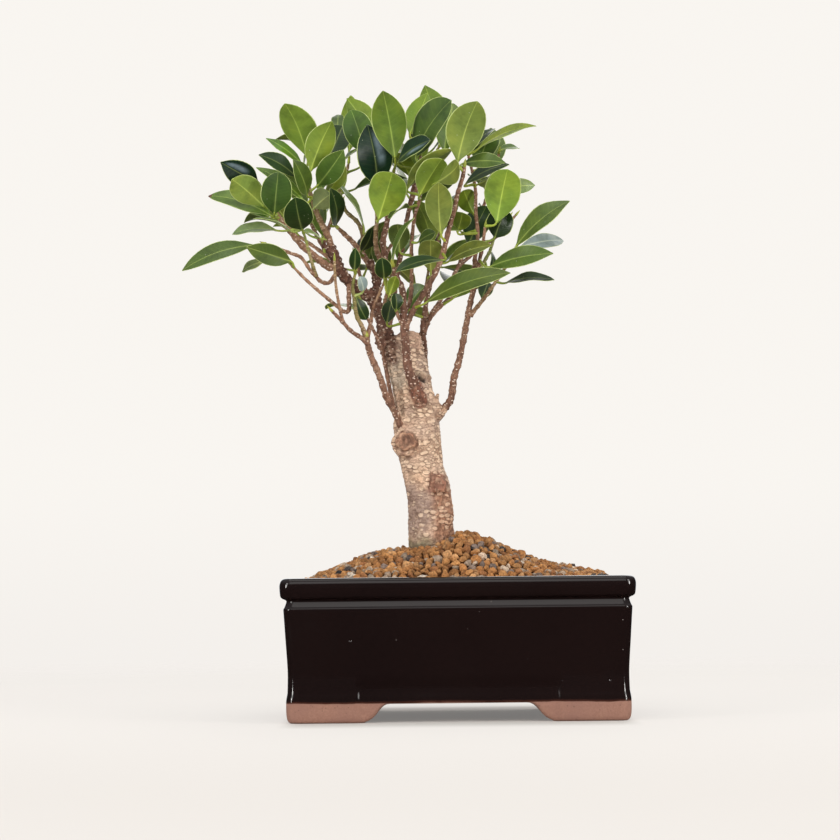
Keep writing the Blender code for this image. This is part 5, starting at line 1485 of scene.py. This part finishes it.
def spray_leaf(route, index, first, draws, twist):
    """One leaf of a spiral round a shoot, the last ones nearest its tip."""
    length, share, pitch, stalk = draws
    root, axis = along_limb(route, index * SPRAY_STEP)
    aside = axis.cross(Vector((0, 0, 1)))
    aside = aside.normalized() if aside.length > 0.1 else Vector((1, 0, 0))
    turn = math.radians(first + twist) + index * SPIRAL_TURN
    out = Matrix.Rotation(turn, 3, axis) @ aside
    pitch = math.radians(pitch if index else pitch * 0.3)
    direction = (axis * math.cos(pitch) + out * math.sin(pitch)).normalized()
    base = root + direction * stalk
    droop = Vector((0, 0, -0.12 * length * math.sin(pitch)))
    tip = base + direction * length + droop
    direction = (tip - base).normalized()
    upward = Vector((0, 0, 0.8)) + axis * 0.5 - out * 0.2
    normal = (upward - upward.dot(direction) * direction).normalized()
    return base, tip, normal, length * share, root


def corner_tree(name):
    """The corners of a branch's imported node, in millimetres, to be searched by place."""
    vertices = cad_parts[f"branch_{name}"].data.vertices
    tree = kdtree.KDTree(len(vertices))
    for index, vert in enumerate(vertices):
        tree.insert((vert.co - POT_CENTRE) / MM, index)
    tree.balance()
    return tree


def as_packed(tree, choices):
    """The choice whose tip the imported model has, or nothing if the leaf was left out there."""
    best, best_gap = None, SAME_PLACE
    for leaf in choices:
        _, tip, normal, _, _ = leaf
        gap = max(tree.find(tip + normal * PLAIN_HALF)[2], tree.find(tip - normal * PLAIN_HALF)[2])
        if gap < best_gap:
            best, best_gap = leaf, gap
    return best


def find_leaves():
    """Every leaf of every branch as (leaf, tone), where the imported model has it."""
    trees = {name: corner_tree(name) for name in BRANCHES}
    found = {name: [] for name in BRANCHES}

    def keep(name, choices, tone):
        leaf = as_packed(trees[name], choices)
        if leaf:
            found[name].append((leaf, tone))

    for name, rows in LEAVES.items():
        for row in rows:
            keep(name, [read_leaf(row, BRANCHES[name], swing) for swing in SWINGS], row[-1])
    rng = random.Random(PLACE_SEED)
    tones = random.Random(PLACE_SEED + 1)
    for name, limb, count, first, fallen in SPRAYS:
        route = BRANCHES[name][limb][0]
        for index in range(count):
            draws = [rng.uniform(*limits) for limits in SPRAY_DRAWS]
            tone = tones.choice(SPRAY_TONES)
            if index not in fallen:
                choices = [spray_leaf(route, index, first, draws, twist) for twist in SPRAY_SWINGS]
                keep(name, choices, tone)
    return found


def add_blade(shape, leaf, tone, rng):
    """Both faces of a blade on a fine grid, joined round the margin."""
    base, tip, normal, width, _ = leaf
    direction = (tip - base).normalized()
    length = (tip - base).length
    side = direction.cross(normal).normalized()
    face_tints = [(*(c * rng.uniform(*TONE_SPREAD) for c in srgb(colour)), 1.0) for colour in TONES[tone]]
    dry = 1.0 if tone == "dry" else 0.0
    shine = GLOSSY.get(tone, 1.0)
    phase = rng.uniform(0, 6.28)
    waves = rng.uniform(1.2, 2.2)
    wave_lift = rng.uniform(0.15, 0.5)
    lean = rng.uniform(-0.02, 0.02) * length
    blunt = smoothstep(*BLUNT_FROM, width / length)
    outline = [(share, wide + blunt * more) for (share, wide), more in zip(BLADE_OUTLINE, BLUNT_MORE)]
    points, tints, places, sides = [], [], [], []
    for face, tint in zip((1, -1), face_tints):
        for share, wide in outline:
            arch = 4 * BLADE_ARCH * length * share * (1 - share)
            half_width = max(wide * width / 2, 0.35)
            centre = base + direction * (length * share) + normal * arch
            centre += side * (lean * math.sin(math.pi * share))
            for column in BLADE_COLUMNS:
                out = abs(column)
                fold = BLADE_FOLD * half_width * (out ** 1.25)
                turn = waves * 2 * math.pi * share + phase * (1 if column > 0 else 1.7)
                wave = wave_lift * out ** 2 * math.sin(turn)
                wave *= smoothstep(0.0, 0.25, share) * (1 - smoothstep(0.9, 1.0, share))
                thick = BLADE_THICKNESS * (1 - 0.55 * out ** 3)
                rib = RIB_HEIGHT * (1 - 0.8 * share) * math.exp(-(column * half_width / 0.55) ** 2)
                stand = thick / 2 + (rib if face < 0 else -0.25 * rib)
                lift = fold + wave + face * stand
                points.append(centre + side * (column * half_width) + normal * lift)
                tints.append(tint)
                places.append((share, column, column * half_width))
                sides.append((shine if face > 0 else 0.0, dry, 1.0))
    shape.add(points, blade_faces(len(outline), len(BLADE_COLUMNS)), tint=tints, leaf=places, side=sides)


def blade_faces(rows, columns):
    """The upper grid, the same grid under it turned over, and a strip between their borders."""
    size = rows * columns
    faces = []
    for a, b, c, d in grid_faces(rows, columns):
        faces += [(a, b, c, d), (size + a, size + d, size + c, size + b)]
    border = [r * columns for r in range(rows)]
    border += [size - columns + c for c in range(1, columns)]
    border += [r * columns + columns - 1 for r in reversed(range(rows - 1))]
    border += reversed(range(1, columns - 1))
    faces += [(a, b, size + b, size + a) for a, b in zip(border, border[1:] + border[:1])]
    return faces


def off_blade(colour):
    """The values of stalks and buds, which have a colour but no rib, face or margin."""
    return {
        "tint": lambda t: (*colour, 1.0),
        "leaf": lambda t: (0.5, 0.5, 9.0),
        "side": lambda t: (0.5, 0.0, 0.0),
    }


def add_stalk(shape, leaf, tone):
    """The stalk that bends from the limb into the blade's rib."""
    base, tip, normal, _, root = leaf
    direction = (tip - base).normalized()
    arch_slope = (direction + normal * (4 * BLADE_ARCH)).normalized()
    reach = (base - root).length
    first = root + (base - root) * 0.35 + normal * (0.06 * reach)
    second = base - arch_slope * (0.38 * reach)
    end = base + arch_slope * 1.6 - normal * 0.15
    samples = []
    for k in range(STALK_STEPS + 1):
        t = k / STALK_STEPS
        place = root * (1 - t) ** 3 + first * 3 * t * (1 - t) ** 2
        place = place + second * 3 * t * t * (1 - t) + end * t ** 3
        samples.append((place, t))
    dark = 0.25 if tone in ("dark", "gloss") else 0.0
    values = off_blade(toward(Vector(srgb(STALK_COLOUR)), TONES[tone][1], 0.25 + dark))
    add_tube(shape, samples, lambda t: STALK_RADIUS * (1.28 - 0.45 * t + 0.35 * (1 - t) ** 6), STALK_SIDES,
             None, values)


def add_bud(shape, route, last):
    """The pointed bud at the end of a shoot."""
    end = Vector(route[-1])
    run = (end - Vector(route[-2])).normalized()
    samples = [(end - run * 0.8 + run * (0.85 * k), k / 6) for k in range(7)]
    add_tube(shape, samples, lambda t: last * between(BUD_PROFILE, t), 8, None, off_blade(srgb(BUD_COLOUR)))


def make_leaves(material):
    for branch, leaves in find_leaves().items():
        name = f"branch_{branch}"
        shape = Shape()
        rng = random.Random(name)
        for leaf, tone in leaves:
            add_blade(shape, leaf, tone, rng)
            add_stalk(shape, leaf, tone)
        for route, _, last, _ in BRANCHES[branch].values():
            add_bud(shape, route, last)
        piece(f"{name}_leaves", shape.mesh(f"{name}_leaves"), material, "foliage", name)


# The stage, the light and the camera

def make_stage():
    """A pale round floor whose edge fades into the background of the same colour."""
    bm = bmesh.new()
    bmesh.ops.create_circle(bm, cap_ends=True, segments=96, radius=FLOOR_RADIUS)
    floor = add_object("floor", mesh_of("floor", bm))
    floor.location = (POT_CENTRE.x, 0, -0.0001)
    m = Maker("floor")
    matt = m.shader.outputs[0]
    m.finish(srgb((214, 210, 205)), 0.9, Specular_IOR_Level=0.1)
    path = m.node("LightPath").outputs
    across, nearness, _ = m.split(m.place)
    glow = m.ramp(m.step(nearness, -0.85, 0.1), (236, 231, 226), (255, 251, 247))
    even = m.node("Emission", {"Color": glow}).outputs[0]
    dull = m.node("BsdfDiffuse", {"Color": srgb((44, 42, 42))}).outputs[0]
    # The shade under the pot, where less of the even glow is left
    under_x = m.fall(m.size(across), 0.088, 0.102)
    under_y = m.fall(m.size(m.less(nearness, POT_CENTRE.y)), 0.080, 0.130)
    under = m.times(under_x, under_y)
    seen = m.shaders(m.scaled(under, -0.40, 0.62), matt, even)
    seen = m.shaders(m.times(under, 0.16), seen, dull)
    seen = m.shaders(path["Is Camera Ray"], matt, seen)
    gap = m.node("VectorMath", {0: m.place}, operation="LENGTH").outputs["Value"]
    both = m.shaders(m.step(gap, *FLOOR_FADE), seen, m.node("BsdfTransparent").outputs[0])
    both = m.shaders(path["Is Glossy Ray"], both, dull)
    m.feed(m.tree.nodes["Material Output"].inputs["Surface"], both)
    floor.data.materials.append(m.owner)


def make_world():
    """A pale background for the eye, fill for matt surfaces and a ceiling glow for glossy ones."""
    m = Maker("studio", bpy.data.worlds, "Generated")
    m.tree.nodes.remove(m.tree.nodes["Background"])
    bpy.context.scene.world = m.owner

    def background(colour, strength):
        return m.node("Background", {"Color": colour, "Strength": strength}).outputs[0]

    _, depth, height = m.split(m.place)
    ceiling = m.plus(m.step(height, 0.25, 0.85, 0.05, 0.42), m.step(depth, 0.80, 0.96, 0.0, 1.6))
    shade = m.ramp(m.step(height, -0.035, 0.045), BACKDROP_LOW, BACKDROP)
    path = m.node("LightPath").outputs
    fill = background((1.0, 0.985, 0.96), 0.60)
    unseen = m.shaders(path["Is Glossy Ray"], fill, background((0.93, 0.96, 1.0), ceiling))
    every = m.shaders(path["Is Camera Ray"], unseen, background(shade, 1.0))
    m.feed(m.tree.nodes["World Output"].inputs["Surface"], every)


def make_lights():
    for name, place, size, power in LAMPS:
        lamp = bpy.data.lights.new(name, "AREA")
        lamp.shape = "RECTANGLE"
        lamp.size, lamp.size_y = size
        lamp.energy = power
        lamp.color = LAMP_COLOUR
        ob = add_object(name, lamp)
        ob.location = place
        ob.rotation_mode = "QUATERNION"
        ob.rotation_quaternion = (LAMP_AIM - Vector(place)).to_track_quat("-Z", "Y")
        ob.visible_glossy = name != "front_above_dull"


def make_camera():
    data = bpy.data.cameras.new("camera")
    data.sensor_width = SENSOR
    data.lens = FOCAL_PIXELS / PHOTO_SIDE * SENSOR
    data.clip_end = 20.0
    camera = add_object("camera", data)
    tilt = Matrix.Rotation(math.radians(90 + CAMERA_TILT), 4, "X")
    roll = Matrix.Rotation(-math.radians(CAMERA_ROLL), 4, "Z")
    camera.matrix_world = Matrix.Translation(POT_CENTRE + CAMERA_PLACE) @ tilt @ roll
    bpy.context.scene.camera = camera


def main():
    bpy.context.scene.view_settings.view_transform = "Standard"
    make_camera()
    make_world()
    make_lights()
    make_stage()
    make_pot()
    make_screens()
    make_soil()
    bark = bark_material()
    make_trunk(bark)
    for name in BRANCHES:
        make_wood(name, bark)
    make_leaves(leaf_material())


main()
